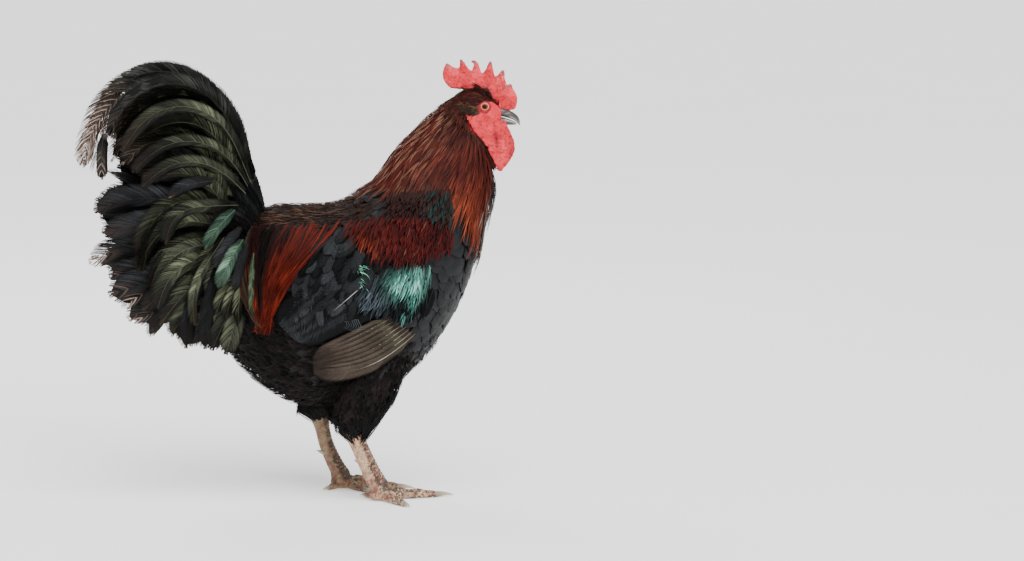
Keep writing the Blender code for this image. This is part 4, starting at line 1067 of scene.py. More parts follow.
def build_skin():
    """One skin: the bare head with its comb, wattles and lobes, grown into the feathered body."""
    head = [loft("head", SKULL.rings(np.linspace(0, len(HEAD) - 1, 25), 32)), build_comb()]
    steps = np.linspace(0, 1, 7)[:, None]
    for side, _ in HANDS:
        for name, table, count in (("wattle", WATTLE, 25), ("lobe", LOBE, 21)):
            head.append(loft(name, Fan(table, side=side).rings(np.linspace(0, len(table) - 1, count), 20)))
        for lower, upper in CHEEKS:
            path = (np.array(lower) * (1 - steps) + np.array(upper) * steps) * (1, side, 1)
            head.append(loft("cheek", sweep_rings(path, np.full(7, 4.2), np.full(7, 6.5), 12)))
    skin = remeshed("skin", head, 0.8, 5)
    place, normal = points_of(skin)
    x, y, z = place.T
    eye_far = np.hypot(x - EYE[0], z - EYE[1])
    ring = 0.7 * bell(eye_far, 6.2, 1.2) - 2.2 * np.exp(-((eye_far / 4.6) ** 4))
    ring = ring - 0.5 * bell(eye_far, 8.6, 0.9)
    push = (np.abs(y) > 8) * ring
    flap = eased((474 - z) / 14) * (x > 232)
    fold = bell(x + 0.12 * (z - 450), 251, 3.0) * eased((470 - z) / 16) * eased((z - 424) / 16)
    push += (ripple(place, 0.21) + 0.5 * ripple(place, 0.55)) * (0.55 + 0.35 * flap) - 1.5 * fold * flap
    push += eased((z - 512) / 10) * 0.35 * ripple(place, 0.9)
    set_points(skin, place + normal * push[:, None])

    numbers = np.linspace(0.35, len(BODY) - 1.6, 60)
    trunk = [loft("trunk", TRUNK.rings(numbers, 40, hackle_depth(numbers)))]
    for side, _ in HANDS:
        numbers = np.linspace(0, 4.6 if side < 0 else 4.1, 16)
        depth = COAT_DEPTH - 1.5 * eased((numbers - 3) / 2)
        trunk.append(loft("thigh", thigh_form(side).rings(numbers, 24, depth)))
    body = remeshed("trunk_skin", trunk, 3.2, 6)
    joiner = skin.modifiers.new("join", "BOOLEAN")
    joiner.operation = "UNION"
    joiner.object = body
    joiner.solver = "MANIFOLD"
    whole = bpy.data.meshes.new_from_object(skin.evaluated_get(bpy.context.evaluated_depsgraph_get()))
    skin.modifiers.clear()
    skin.data = whole
    bpy.data.objects.remove(body)
    place, _ = points_of(skin)
    x, y, z = place.T
    tips = np.min([np.hypot(x - tip_x, z - tip_z) for tip_x, tip_z in COMB_TIPS], axis=0)
    dust = np.clip(1 - tips / 17, 0, 1) * (x > 214) + 0.3 * (z > 515) * (x > 250)
    rim = bell(depth_in(x, z, FACE_EDGE), 0.9, 0.8)
    dust = dust + 0.5 * rim * (x < 243) * (z < 488) * (z > 400)
    grey = np.clip(1 - tips / 8.5, 0, 1) ** 0.8
    # Painted shade: dark red round the eye, in the wattle's fold, on the wattles' front part, along the
    # comb's foot and in the skin's hollows
    shade = bell(np.hypot(x - EYE[0], z - EYE[1]), 6.9, 1.3)
    shade = shade + bell(x + 0.10 * (z - 450), 250, 2.6) * bell(z, 455, 16)
    shade = shade + 0.45 * eased((x - 259) / 9) * (z < 476)
    shade = shade + 0.55 * bell(z - comb_foot(x), 1, 4.5) * (z > 500) * (x > 206)
    shade = np.clip(shade * 0.8 + np.clip(-1.1 * ripple(place, 0.35), 0, 0.5), 0, 1)
    mark(skin, "marks", np.stack([bare_share(place), np.clip(dust, 0, 1), grey, shade], 1))
    copper = eased((z - 330 - 0.25 * np.abs(x - 60)) / 40)
    mark(skin, "plumage", mixed(*tints("#15120f", "#3a1a12"), copper))
    nodes = [
        "head", "comb", "wattle_right", "wattle_left", "earlobe_right", "earlobe_left", "neck", "torso",
        "thigh_right", "thigh_left",
    ]
    return settle(skin, skin_finish(), nodes, 60)


def build_eyes(lid):
    """The wet eyeballs, and the puffed lids round them."""
    for side, name in HANDS:
        turns, rings = turns_of(40), []
        for latitude in np.linspace(-1.45, 1.5, 25):
            bulge = 1 + 0.05 * max(0.0, math.sin(latitude)) ** 6
            out = EYE_RADIUS * math.cos(latitude)
            y = np.full(40, side * (EYE_OUT + EYE_RADIUS * math.sin(latitude) * bulge))
            rings.append(np.stack([EYE[0] + out * np.cos(turns), y, EYE[1] + out * np.sin(turns)], -1))
        loft("eyeball_" + name, rings, eye_finish(side), ["eye_" + name])
        around, points, faces = turns_of(LID_SIDES), [], []
        for i, turn in enumerate(turns_of(LID_STEPS)):
            wide = 0.55 + 0.1 * math.sin(turn)
            radius = 4.1 * (1 - 0.12 * abs(math.sin(turn)) ** 1.5) + wide
            out = np.array([math.cos(turn), 0, math.sin(turn)])
            x, z = EYE[0] + radius * out[0], EYE[1] + radius * out[2]
            middle = np.array([x, side * (SKULL.out_at([x], [z])[0] + 0.6), z])
            points.extend(
                middle + np.outer(np.cos(around) * wide, out) + np.outer(np.sin(around) * 1.2, (0, 1, 0)))
            here, after = i * LID_SIDES, (i + 1) % LID_STEPS * LID_SIDES
            for k in range(LID_SIDES):
                n = (k + 1) % LID_SIDES
                faces.append((here + k, here + n, after + n, after + k))
        mesh_piece("eyelid_" + name, points, faces, lid)


def build_bill():
    """The two horny halves of the bill, with the nostril under its flap."""
    finish = horn_finish("dark_bill_horn", "#2b2827", "#b9b0a6", 0.25, 0.72)
    share = np.linspace(0, 1, 40)[:, None]
    down = (1 - np.cos(turns_of(36))) / 2
    for name, table, stripe_at, wide, stripe_from in (
        ("beak_upper", UPPER_BILL, 0.70 + 0.12 * share, 0.11, 0.25),
        ("beak_lower", LOWER_BILL, 0.25, 0.22, 0.15),
    ):
        rings = Fan(table, 0.1).rings(np.linspace(0, len(table) - 1, 40), 36)
        if name == "beak_upper":
            x, y, z = np.moveaxis(rings, -1, 0)
            pit = np.exp(-np.hypot((x - NOSTRIL[0]) / 2.8, (z - NOSTRIL[1]) / 1.2) ** 3) * 1.6
            flap = bell(x, NOSTRIL[0], 3.4) * bell(z, NOSTRIL[1] + 1.5, 1.0) * 0.5
            rings[..., 1] -= np.sign(y) * (pit - flap) * (np.abs(y) > 2)
        piece = loft(name + "_horn", rings, finish, [name])
        stripe = bell(down, stripe_at, wide) * eased((share - stripe_from) / 0.25)
        mark(piece, "growth", np.stack(np.broadcast_arrays(stripe, share, down), -1).reshape(-1, 3))


def build_hackle(finish):
    """The neck's cape: rows of narrow lances from the nape down over the shoulders."""
    rng = np.random.default_rng(11)
    coat = Coat("hackle_lances")
    t = np.array([0, 0.14, 0.36, 0.6, 0.82, 1.0])
    for row, root in enumerate(np.linspace(-3.0, 4.0, HACKLE_ROWS)):
        around = smooth(CAPE, root + CAPE_START)
        girth = math.pi * (math.dist(around[0:2], around[2:4]) / 2 + around[4])
        width = 2.5 + 0.42 * max(root, 0)
        count = int(girth / (width * 0.64))
        a = (np.arange(count) + 0.5 * (row % 2) + rng.uniform(-0.3, 0.3, count)) * 2 * math.pi / count
        s = root + rng.uniform(-0.12, 0.12, count)
        covered = bare_share(NECK.point(s + CAPE_START, a)) < 0.5
        s, a = s[covered], a[covered]
        throat = (1 - np.cos(a)) / 2
        length = np.where(s < 0, 24 + 3 * s, 24 + 21 * s) * (0.72 + 0.30 * throat)
        length = length * rng.uniform(0.84, 1.12, len(s))
        number, angle = NECK.lines(s + CAPE_START, a, length, 0.0, 0.0, t)
        over = bare_share(NECK.point(number, angle).reshape(-1, 3)).reshape(number.shape)
        edge = np.interp(throat, *CAPE_EDGE) + rng.normal(0, 0.16, len(s))
        kept = (number[:, -1] - CAPE_START < edge) & (over.max(1) < 0.5)
        if kept.any():
            wide = width * rng.uniform(0.75, 1.15, kept.sum())
            hackle_row(coat, rng, s[kept], a[kept], length[kept], wide, t, throat[kept])
    coat.piece(finish, "hackle", ["neck"])


def hackle_colour(s, throat, rng):
    """Mahogany by the head, copper down the side, black along the throat's front, and painted highlight in
    pale streaks along the cape's back.
    """
    base = mixed(*tints("#2c0d0a", "#3f140f"), eased(s / 1.6))
    side_copper = bell(throat, 0.80, 0.2) * eased((s - 0.7) / 2.4)
    base = mixed(base, tint("#7e3620"), np.clip(side_copper + rng.normal(0, 0.16, len(s)), 0, 1))
    base = mixed(base, tint("#1c0a08"), bell(throat, 0.45, 0.2) * eased((s - 1.2) / 2) * 0.25)
    # Painted highlight: pale streaks on some lances along the back of the cape
    nape = bell(throat, 0, 0.3) * (rng.random(len(s)) < 0.36) * eased((s + 1) / 1.5)
    base = mixed(base, tint("#7a5846"), 0.65 * nape)
    edge = (rng.random(len(s)) < 0.25) * eased((throat - 0.93) / 0.03) * eased((s - 1.0) / 1.0)
    base = mixed(base, tint("#060505"), eased((throat - 0.955) / 0.025))
    return mixed(base, tint("#8d8a80"), edge * 0.7)


def hackle_row(coat, rng, s, a, length, width, t, throat):
    """Lays one row of lances on the neck, their tips over the shoulders and wings."""
    tone = rng.random(len(s))
    colour = hackle_colour(s, throat, rng)
    tips = colour * rng.uniform(0.9, 1.5, (len(s), 1))
    colours = colour[:, None] + (tips - colour)[:, None] * t[:, None]

    def settle_on_torso(number, angle, centre, t):
        number = number - CAPE_START
        share = eased((number - 4.4) / 0.9)
        wing = wing_rise(centre[..., 0], centre[..., 2]) * np.abs(np.sin(angle))
        nape = eased((0.8 - number) / 1.5) * 2.5
        return share * (2.0 + 1.6 * t + wing) + nape * t

    lift = rng.uniform(-1.6, 0.8, len(s)) + 4.0 * eased((throat - 0.86) / 0.1) * (s < 1.8)
    coat.lay(NECK, s + CAPE_START, a, length, width, lift, t, heading=rng.normal(0, 0.05, len(s)),
             bend=rng.normal(0, 0.10, len(s)), tone=tone, colour=colours, thick=0.7,
             sink=np.where(s < 0.3, -1.0, -7.0)[:, None], extra=settle_on_torso)


def build_crown(finish):
    """Short dark feathers over the crown, a tuft over the ear and bristles at the comb's foot."""
    rng = np.random.default_rng(12)
    coat = Coat("crown_feathers")
    t = np.array([0, 0.3, 0.6, 0.85, 1.0])
    s, a = CROWN.spots((0.0, 4.6), (0.02, 2.0), 1.5, rng, 12000)
    s, a = np.concatenate([s, s]), np.concatenate([a, -a])
    keep = bare_share(CROWN.point(s, a) * [1, 9, 1]) < 0.5
    s, a = s[keep], a[keep]
    count = len(s)
    coat.lay(CROWN, s, a, rng.uniform(8, 12, count), 1.7, rng.uniform(0.4, 1.4, count), t,
             heading=rng.normal(0, 0.2, count), tone=rng.random(count),
             colour=mixed(*tints("#1f0906", "#4a1a10"), rng.random(count)), thick=0.45, sink=-0.8)
    for side, _ in HANDS:
        for count, middle, spread, tilt, way, size, out, half, least, shades in CROWN_TUFTS:
            along, across = rng.uniform(-1, 1, (2, count))
            px = middle[0] + spread[0] * along
            pz = middle[1] + spread[1] * across - tilt * spread[0] * along
            way = np.radians(rng.normal(*way, count))[:, None]
            size = rng.uniform(*size, count)[:, None]
            skin = np.maximum(SKULL.out_at(px, pz), least)[:, None]
            y = skin - 0.4 + out * rng.uniform(0.6, 1.3, (count, 1)) * np.sin(t * 2.2)
            x, z = px[:, None] + np.cos(way) * size * t, pz[:, None] + np.sin(way) * size * t
            root = SKULL.unwrap(2.5 + along, side * (0.8 + 0.3 * across))
            coat.add(np.stack([x, side * y, z], -1), (0.0, side, 0.0), half * lance_width(t), 0.35, root,
                     rng.random(count), mixed(*tints(*shades), rng.random(count)))
        # The throat's short feathers fill the space behind the wattles
        count = THROAT_FEATHERS
        down = rng.uniform(0, 1, count)
        way = np.radians(rng.normal(294, 8, count))[:, None]
        size = rng.uniform(9, 14, count)[:, None] * t
        y = side * rng.uniform(0, 9, count)[:, None]
        x = 235 + 12 * down + rng.normal(0, 1.0, count) - 7.5 * down * rng.uniform(0, 1, count)
        x, z = x[:, None] + np.cos(way) * size, (453 - 28 * down)[:, None] + np.sin(way) * size
        coat.add(np.stack(np.broadcast_arrays(x, y, z), -1), (0.0, side, 0.0), 1.1 * lance_width(t), 0.5,
                 SKULL.unwrap(1.0 + down, side * (2.4 + 0.3 * down)), rng.random(count),
                 mixed(*tints("#160807", "#441610"), rng.random(count)))
    coat.piece(finish, "hackle")


def tufts(coat, form, s, a, reach, lift, rng):
    """Down in tufts: from each spot a few soft strands that part towards their ends."""
    t = np.array([0, 0.35, 0.7, 1.0])
    count = len(s)
    own, curl = rng.normal(0, 0.22, count), rng.normal(0, 0.35, count)
    size, tone = rng.uniform(*reach, count), rng.random(count)
    for _ in range(TUFT_STRANDS):
        colour = mixed(*tints("#040303", "#1a1210"), np.clip(tone**2 + rng.normal(0, 0.15, count), 0, 1))
        coat.lay(form, s, a, size * rng.uniform(0.6, 1.1, count), rng.uniform(1.2, 2.6, count),
                 rng.uniform(-2.0, lift, count), t, heading=own + rng.normal(0, 0.26, count),
                 bend=curl + rng.normal(0, 0.4, count), tone=tone, colour=colour, thick=0.5, sink=-6.5)


def build_body_coat(black, fluff):
    """Breast and flank feathers, broad and scale-like, and loose down on belly and thighs."""
    rng = np.random.default_rng(13)
    t = np.array([0, 0.25, 0.5, 0.72, 0.88, 1.0])
    coat = Coat("breast_and_back_feathers")
    for side, _ in HANDS:
        s, a = TRUNK.spots((4.2, 13.0), (0.0, math.pi), 8.0, rng, 9000)
        down = (1 - np.cos(a)) / 2
        place = TRUNK.point(s, a)
        fluffy = eased((s - 8.2 + (down - 0.6) * 2) / 1.6) * eased((down - 0.35) / 0.2)
        keep = rng.random(len(s)) > fluffy
        s, a, place = s[keep], a[keep] * side, place[keep]
        front = eased((place[:, 0] - 60) / 120)
        count = len(s)
        # Painted highlight: the feathers turn a little slate towards the breast's front
        colour = mixed(*tints("#050505", "#101215"), front * rng.uniform(0.4, 1.1, count))
        low = front * eased((215 - place[:, 2]) / 30)
        coat.lay(TRUNK, s, a, (28 + 4 * front) * rng.uniform(0.85, 1.2, count), 14 + 3 * front,
                 rng.uniform(-1.4, 0.6, count) - 1.6 * low, t, leaf_width, rng.normal(0, 0.14, count),
                 rng.normal(0, 0.18, count), rng.random(count), colour, BROAD, 0.14, sink=-8,
                 wave=rng.normal(0, 0.08, (count, len(t))))
    coat.piece(black, "plumage", ["torso"])

    soot = tint("#070505")
    for side, name in HANDS:
        coat = Coat("belly_fluff_" + name)
        s, a = TRUNK.spots((7.6, 15.4), (0.9, math.pi + 0.15), 7.2, rng, 12000)
        down = (1 - np.cos(a)) / 2
        keep = rng.random(len(s)) < eased((s - 7.9 + (down - 0.6) * 2) / 1.2) * eased((down - 0.30) / 0.15)
        tufts(coat, TRUNK, s[keep], a[keep] * side, (16, 34), 3.0, rng)
        count = VENT_STRANDS
        s, a = 14.4 + rng.normal(0, 0.12, count), math.pi * side * rng.uniform(0.9, 1, count)
        coat.lay(TRUNK, s, a, rng.uniform(20, 30, count), 2.2, 6.0, t, heading=-0.5 * side,
                 bend=-0.8 * side, tone=rng.random(count), colour=soot, thick=0.5, sink=-4)
        coat.piece(fluff, "plumage")
        coat = Coat("thigh_fluff_" + name)
        thigh = thigh_form(side)
        end = 3.7 if side < 0 else 3.2
        s, a = thigh.spots((0.0, end), (0, 2 * math.pi), 5.8, rng, 9000)
        tufts(coat, thigh, s, a, (13, 22), 1.0, rng)
        # The thigh's front edge is closely covered
        count = THIGH_FRONT_STRANDS
        s, a = rng.uniform(1.2, 3.9, count), rng.normal(0, 0.4, count)
        coat.lay(thigh, s, a, rng.uniform(12, 18, count), 2.4, rng.uniform(-1.0, 0.8, count),
                 np.array([0, 0.35, 0.7, 1.0]), heading=rng.normal(0, 0.15, count), tone=rng.random(count),
                 colour=soot, thick=0.5, sink=-5)
        # The last of the down narrows to the shank
        count = THIGH_END_STRANDS
        s, a = rng.uniform(end - 0.4, end + 0.5, count), rng.uniform(0, 2 * math.pi, count)
        goal = np.array(THIGH_GOAL[side]) + rng.normal(0, 1, (count, 3)) * (3.5, 4, 2.0)
        share = np.array([0, 0.4, 0.75, 1.0])[:, None]
        normal = thigh.normal(s, a)[:, None]
        line = thigh.point(s, a)[:, None] * (1 - share) + goal[:, None] * share
        line = line + normal * (4 * share * (1 - share))
        coat.add(line, normal, 1.3 * lance_width(share[:, 0]), 0.5, thigh.unwrap(s, a), rng.random(count),
                 tint("#0a0808"))
        coat.piece(fluff, "plumage", ["thigh_" + name])
    coat = Coat("groin_fluff")
    groin = Fan(GROIN, THIGH_FULLNESS)
    s, a = groin.spots((0.0, 2.9), (0, 2 * math.pi), 6.4, rng, 4000)
    tufts(coat, groin, s, a, (14, 26), 2.0, rng)
    coat.piece(fluff, "plumage")


def wing_lift(centre):
    """How far feathers that fall over the wing stand out to clear it."""
    rise = wing_rise(centre[..., 0], centre[..., 2])
    return np.where(rise > 0, rise + 2.5, 0.0)


def wing_frames(x, z, side, lift):
    """Places and normals of feather lines laid on the folded wing."""
    step = 2.0
    slope_x = (wing_cover(x + step, z) - wing_cover(x - step, z)) / (2 * step)
    slope_z = (wing_cover(x, z + step) - wing_cover(x, z - step)) / (2 * step)
    normal = unit(np.stack([-slope_x, np.full_like(x, 1.0), -slope_z], -1))
    centre = np.stack([x, wing_cover(x, z), z], -1) + normal * lift[..., None]
    return centre * (1, side, 1), normal * (1, side, 1)


def wing_unwrap(x, z):
    """The wing's own oval laid flat."""
    u, v = wing_oval(x, z)
    return np.stack([0.5 + 0.36 * u, 0.5 + 0.36 * v], -1)


def build_saddle(finish):
    """The saddle's long narrow hackles, falling from the back to a point behind the wing."""
    rng = np.random.default_rng(14)
    coat = Coat("saddle_hackles")
    t = np.array([0, 0.12, 0.3, 0.52, 0.74, 0.9, 1.0])
    last = len(SADDLE_REAR) - 1
    for side, _ in HANDS:
        count = SADDLE_HACKLES
        across = rng.uniform(0, 1, count) ** 0.85 - 0.02
        loose = rng.random(count) < 0.12
        across = np.where(loose, rng.uniform(-0.28, 0.05, count), across)
        start = rng.uniform(0.0, 0.74, count)
        reach = np.minimum(rng.uniform(0.22, 0.44, count), rng.uniform(0.84, 1.0, count) - start)
        at = (start[:, None] + np.maximum(reach, 0.08)[:, None] * t) * last
        lane = across[:, None, None] + rng.normal(0, 0.03, (count, 1, 1)) * t[:, None]
        lane = lane + (rng.normal(0, 0.9, (count, 1)) * eased((at / last - 0.8) / 0.2))[..., None]
        place = smooth(SADDLE_REAR, at) * (1 - lane) + smooth(SADDLE_FRONT, at) * lane
        lift = -2.0 + (rng.uniform(4.5, 8.0, (count, 1)) + 2.0) * t**0.6
        centre, normal = wing_frames(place[..., 0], place[..., 1], side, lift)
        low = eased((start + 0.3 * across - 0.05) / 0.4)
        colour = mixed(*tints("#160807", "#501207"), np.clip(low * 0.9 + rng.normal(0, 0.25, count), 0, 1))
        bright = (rng.random(count) < 0.22) * rng.uniform(0.3, 0.9, count) * low
        colour = mixed(colour, tint("#7e2610"), bright)
        hidden = bell(across, 0.24, 0.09) * (start < 0.45)
        colour = mixed(colour, tint("#080504"), np.clip(hidden * 1.2, 0, 1))
        colour = mixed(colour, tint("#4e5240"), loose * rng.uniform(0.0, 0.8, count))
        coat.add(centre, normal, rng.uniform(1.0, 1.9, (count, 1)) * lance_width(t), 0.7,
                 wing_unwrap(place[:, 0, 0], place[:, 0, 1]), rng.random(count), colour)
        s, a = TRUNK.spots((5.4, 13.2), (0.0, 0.8), 3.0, rng, 12000)
        count = len(s)
        streak = (rng.random(count) < 0.3) * bell(s, 8.6, 2.4) * np.exp(-((a / 0.55) ** 4))
        colour = mixed(*tints("#120a08", "#3a2117"), rng.random(count))
        colour = mixed(colour, tint("#8a6a52"), streak * rng.uniform(0.1, 0.8, count))
        coat.lay(TRUNK, s, a * side, rng.uniform(10, 18, count), rng.uniform(1.3, 2.2, count),
                 rng.uniform(1.0, 3.0, count), t[::2], heading=rng.normal(0.12, 0.12, count) * side,
                 tone=rng.random(count), colour=colour, thick=0.6, sink=-3,
                 extra=lambda number, angle, centre, t: wing_lift(centre) * t**0.5)
    coat.piece(finish, "plumage", ["torso"])


def wing_plume(coat, side, rng, root, heading, turn, length, lifts, half, hue, shaft, gap, drawn=0.0, **look):
    """One feather laid on the folded wing. Drawn feathers lift off it towards their tips."""
    line_x, line_z = arcs(np.array(root[:1]), np.array(root[1:]), heading, turn, length, 0.0, len(SHARE))
    centre, normal = wing_frames(line_x, line_z, side, between(lifts, SHARE)[None])
    if drawn:
        free = eased(SHARE)
        centre[..., 1] += (side * drawn - centre[..., 1]) * free
        aside = np.array([0, side, 0.12]) * 0.8 * free[:, None]
        normal = unit(normal * (1 - 0.8 * free[:, None]) + aside)
    plume(coat, centre[0], normal[0], half, wing_unwrap(*root), rng.random(), hue, shaft, gap, rng, **look)


def wing_strands(coat, side, rng, x, z, heading, turn, length, lift, wide, colour):
    """Narrow feathers laid on the folded wing."""
    t = np.array([0, 0.3, 0.6, 0.85, 1.0])
    line_x, line_z = arcs(x, z, heading, turn, length, 0.0, len(SHARE))
    pick = np.round(t * (len(SHARE) - 1)).astype(int)
    lift = -1.5 + (np.reshape(lift, (-1, 1)) + 1.5) * t**0.7
    centre, normal = wing_frames(line_x[:, pick], line_z[:, pick], side, lift)
    coat.add(centre, normal, np.reshape(wide, (-1, 1)) * lance_width(t * 0.97), 0.6, wing_unwrap(x, z),
             rng.random(len(x)), colour)


def bar_colour(x, z, rng):
    """The wing bar's barbs: black, a slate part behind, and ahead a pale green patch that is painted sheen,
    where the light catches the bar.
    """
    count = len(x)
    slate = bell(x, 99, 15) * bell(z, 264, 15) * rng.uniform(0.1, 1.0, count)
    # Painted sheen: pale green barbs round a patch ahead and along the bar's front edge
    mint = bell(x, 138, 18) * bell(z, 284, 13.5) * rng.uniform(0.35, 1.3, count)
    line = bell(x + 0.62 * (272 - z), 153, 5) * rng.uniform(0.0, 0.7, count)
    colour = mixed(*tints("#0b0d0f", "#5f6a74"), np.clip(slate, 0, 1))
    green = mixed(*tints("#45988a", "#a8e8d4"), rng.random(count) ** 1.5)
    return mixed(colour, green, np.clip(np.maximum(mint, line), 0, 1))


def build_wing(side, name, small, flight):
    """A folded wing: flight feathers, then the barred coverts, then the red bow on top."""
    rng = np.random.default_rng(15)
    black, slate, taupe, olive, sooty = tints("#060606", "#26282a", "#433a33", "#3c382e", "#1a1413")

    def faded(place, loose, hand):
        return mixed(mixed(olive, taupe, eased(place / 0.5)), sooty, 0.85 * eased((place - 0.5) / 0.5))

    coat = Coat("flight_feathers_" + name)
    for at in np.linspace(0, 1, PRIMARIES):
        lit = bell(SHARE, 0.32, 0.2) * (1.0 if at > 0.3 else 0.4)
        shaft = mixed(*tints("#4a3d34", "#d8cbb8"), lit)[None]
        wing_plume(coat, side, rng, between(((118, 240), (146, 215)), at), between((208, 221), at),
                   between((-2, -42), at), between((112, 140), at), (-1.0, -at), vane_half(SHARE, 9.5, 0.16),
                   faded, shaft, 2.2, drawn=80, cup=0.06, slant=(30, 20), shaft_half=0.42, splits=0.06,
                   web=taupe * 0.45)
    for k, at in enumerate(np.linspace(0, 1, SECONDARIES)):
        # Painted light: every other secondary is a lighter copy, and the end of one vane is lighter still
        lit = black + (slate - black) * (0.75 if k % 2 else 0.15)

        def lit_tip_band(place, loose, hand, lit=lit):
            return mixed(lit, slate, eased((place - 0.84) / 0.1) * (hand != side))

        lifts = between((0.2, 2.0), at), between((2.2, 8.0), at)
        wing_plume(coat, side, rng, between(((112, 262), (60, 308)), at), between((203, 216), at),
                   between((4, 14), at), between((124, 112), at), lifts, vane_half(SHARE, 15.0, 0.2), lit_tip_band,
                   slate, 2.6, cup=0.3, slant=(46, 30), shaft_half=0.5, splits=0.1, web=black * 0.7)
    x, z = spots_in(SCAPULAR_EDGE, 9.5, rng)
    for k in np.argsort(z):
        glow = slate * rng.uniform(0.1, 1.6)
        wing_plume(coat, side, rng, (x[k], z[k] + 8), 238 + rng.normal(0, 12), rng.normal(4, 12),
                   rng.uniform(26, 40), (2.0, 6.5), vane_half(SHARE, rng.uniform(5, 8), 0.4), glow, slate,
                   2.0, cup=0.35, shaft_half=0.4, splits=0.3, fray=0.5, web=glow * 0.5)
    coat.piece(flight, "plumage", ["wing_" + name])

    coat = Coat("wing_coverts_" + name)
    for first, last, number, size, heading, rise in (
        ((152, 256), (72, 276), 9, 30, (238, 228), 3.0), ((166, 272), (70, 288), 10, 36, (246, 234), 4.2),
    ):
        for at in np.linspace(0, 1, number):
            root = between((first, last), at) + rng.normal(0, 2.5, 2)
            wing_plume(coat, side, rng, root, between(heading, at) + rng.normal(0, 8), rng.normal(0, 12),
                       size * rng.uniform(0.8, 1.15), (-1.0, rise + rng.uniform(0, 1.6)),
                       vane_half(SHARE, rng.uniform(8, 10), 0.3), black, slate, 1.9, cup=0.2, slant=(44, 28),
                       shaft_half=0.4, splits=0.25, fray=0.4, web=black)
    x, z = spots_in(BAR_EDGE, 2.5, rng)
    count = len(x)
    wing_strands(coat, side, rng, x, z + 9, 250 + 0.16 * (x - 130) + rng.normal(0, 7, count),
                 rng.normal(-6, 10, count), rng.uniform(16, 26, count), rng.uniform(5.0, 7.0, count),
                 rng.uniform(0.7, 1.5, count), bar_colour(x, z, rng))
    # The loose green strands behind the bow, the curl under the bar, and one pale strand
    x, z = rng.uniform(70, 79, 20), rng.uniform(280, 306, 20)
    wing_strands(coat, side, rng, x, z, rng.normal(344, 14, 20), rng.normal(-30, 12, 20),
                 rng.uniform(9, 15, 20), 8.0, 0.5, mixed(*tints("#123a30", "#8fe0bc"), rng.random(20)))
    curl = np.linspace(0, 1, 7)
    wing_strands(coat, side, rng, 64 - 9 * curl, 238.0 - 2 * curl, 20, -200, 34 - 20 * curl, 8.5, 0.5,
                 tint("#43474a"))
    wing_strands(coat, side, rng, np.array([91.0]), np.array([290.0]), 220, 0, 60, 11.0, 0.5, tint("#b9b6ae"))
    coat.piece(flight, "plumage")

    coat = Coat("wing_bow_" + name)
    x, z = spots_in(BOW_EDGE, 2.6, rng)
    size = rng.uniform(16, 28, len(x))
    kept = depth_in(x - 0.3 * size, z + 6 - 0.9 * size, BOW_EDGE) > rng.uniform(-8, 1, len(x))
    x, z, size = x[kept], z[kept], size[kept]
    count = len(x)
    red = mixed(*tints("#280707", "#4c110d"), rng.random(count))
    fleck = bell(x, 88, 14) * bell(z, 330, 12) * (rng.random(count) < 0.55)
    red = mixed(red, tint("#85381a"), fleck * 0.7)
    red = mixed(red, tint("#7a5a50"), (rng.random(count) < 0.02) * 0.3)
    wing_strands(coat, side, rng, x, z + 8, 250 + rng.normal(0, 6, count), rng.normal(-4, 8, count), size,
                 rng.uniform(5.0, 6.2, count), rng.uniform(0.8, 1.5, count), red)
    x, z = spots_in(SHOULDER_EDGE, 3.0, rng)
    count = len(x)
    green = (rng.random(count) < 0.45) * eased((x - 150) / 25) * rng.uniform(0.3, 1.0, count)
    wing_strands(coat, side, rng, x, z + 6, 246 + rng.normal(0, 12, count), 0, rng.uniform(12, 18, count),
                 6.0, rng.uniform(1.2, 2.2, count), mixed(*tints("#25120f", "#12302e"), green))
    coat.piece(small, "plumage")


def tail_feather(coat, side, rng, root, heading, turn, length, straight, width, outs, look, wear, mark_at,
                 gap, loose=1.0):
    """One of the tail's feathers, barb by barb, curving in the side view."""
    share = np.linspace(0, 1, 41)
    line_x, line_z = arcs(np.array(root[:1]), np.array(root[1:]), heading, turn, length, straight, 41)
    out = between(outs, eased(share / 0.6)) + loose * rng.uniform(-3, 3) * share
    line = np.stack([line_x[0], side * out, line_z[0]], -1)
    tangent = unit(np.gradient(line, axis=0))
    dorsal = unit(np.cross(tangent, (0.0, 1.0, 0.0)))
    roll = (TAIL_ROLL + loose * rng.normal(0, 0.2) + loose * rng.normal(0, 0.25) * share)[:, None]
    across = unit(dorsal * np.cos(roll) + np.array([0.0, -side, 0.0]) * np.sin(roll))
    normal = unit(np.cross(across, tangent))
    normal = normal * np.sign(normal[:, 1:2] * side)
    ground, lit, strength, spread = TAIL_TINTS[look]
    ground, lit, brown, pale = tints(ground, lit, "#4c382d", "#b3a297")
    peak = rng.uniform(0.35, 0.6)

    def shades(place, worn, hand):
        # Painted highlight: the barbs are lighter round a place along the feather, and more on one vane than
        # on the other
        glow = bell(place, peak, spread) * (1.0 if hand == side else 0.4)
        patch = np.repeat(rng.uniform(0.15, 1.0, len(place) // 5 + 1), 5)[:len(place)]
        glow = glow * strength * patch * rng.uniform(0.3, 1.0, len(place))
        bars = (np.sin(place * length * 2 * math.pi / TAIL_BARS) > 0.4) * np.clip(2.5 * worn - 0.5, 0, 1)
        shade = mixed(mixed(ground, lit, np.clip(glow, 0, 1)), brown, np.clip(worn, 0, 1) * 0.9)
        return mixed(shade, pale, 0.7 * bars)

    half = vane_half(share, width / 2, min(0.5, 0.75 * width / length))
    frays_from = 0.62 if length > 300 else 0.7 if length > 57 else 0.05
    plume(coat, line, normal, half, mark_at, rng.random(), shades, lit * 0.25, gap, rng, cup=0.12, fray=wear,
          slant=(42, 20), shaft_half=0.8, splits=0.10, frays_from=frays_from, web=ground)


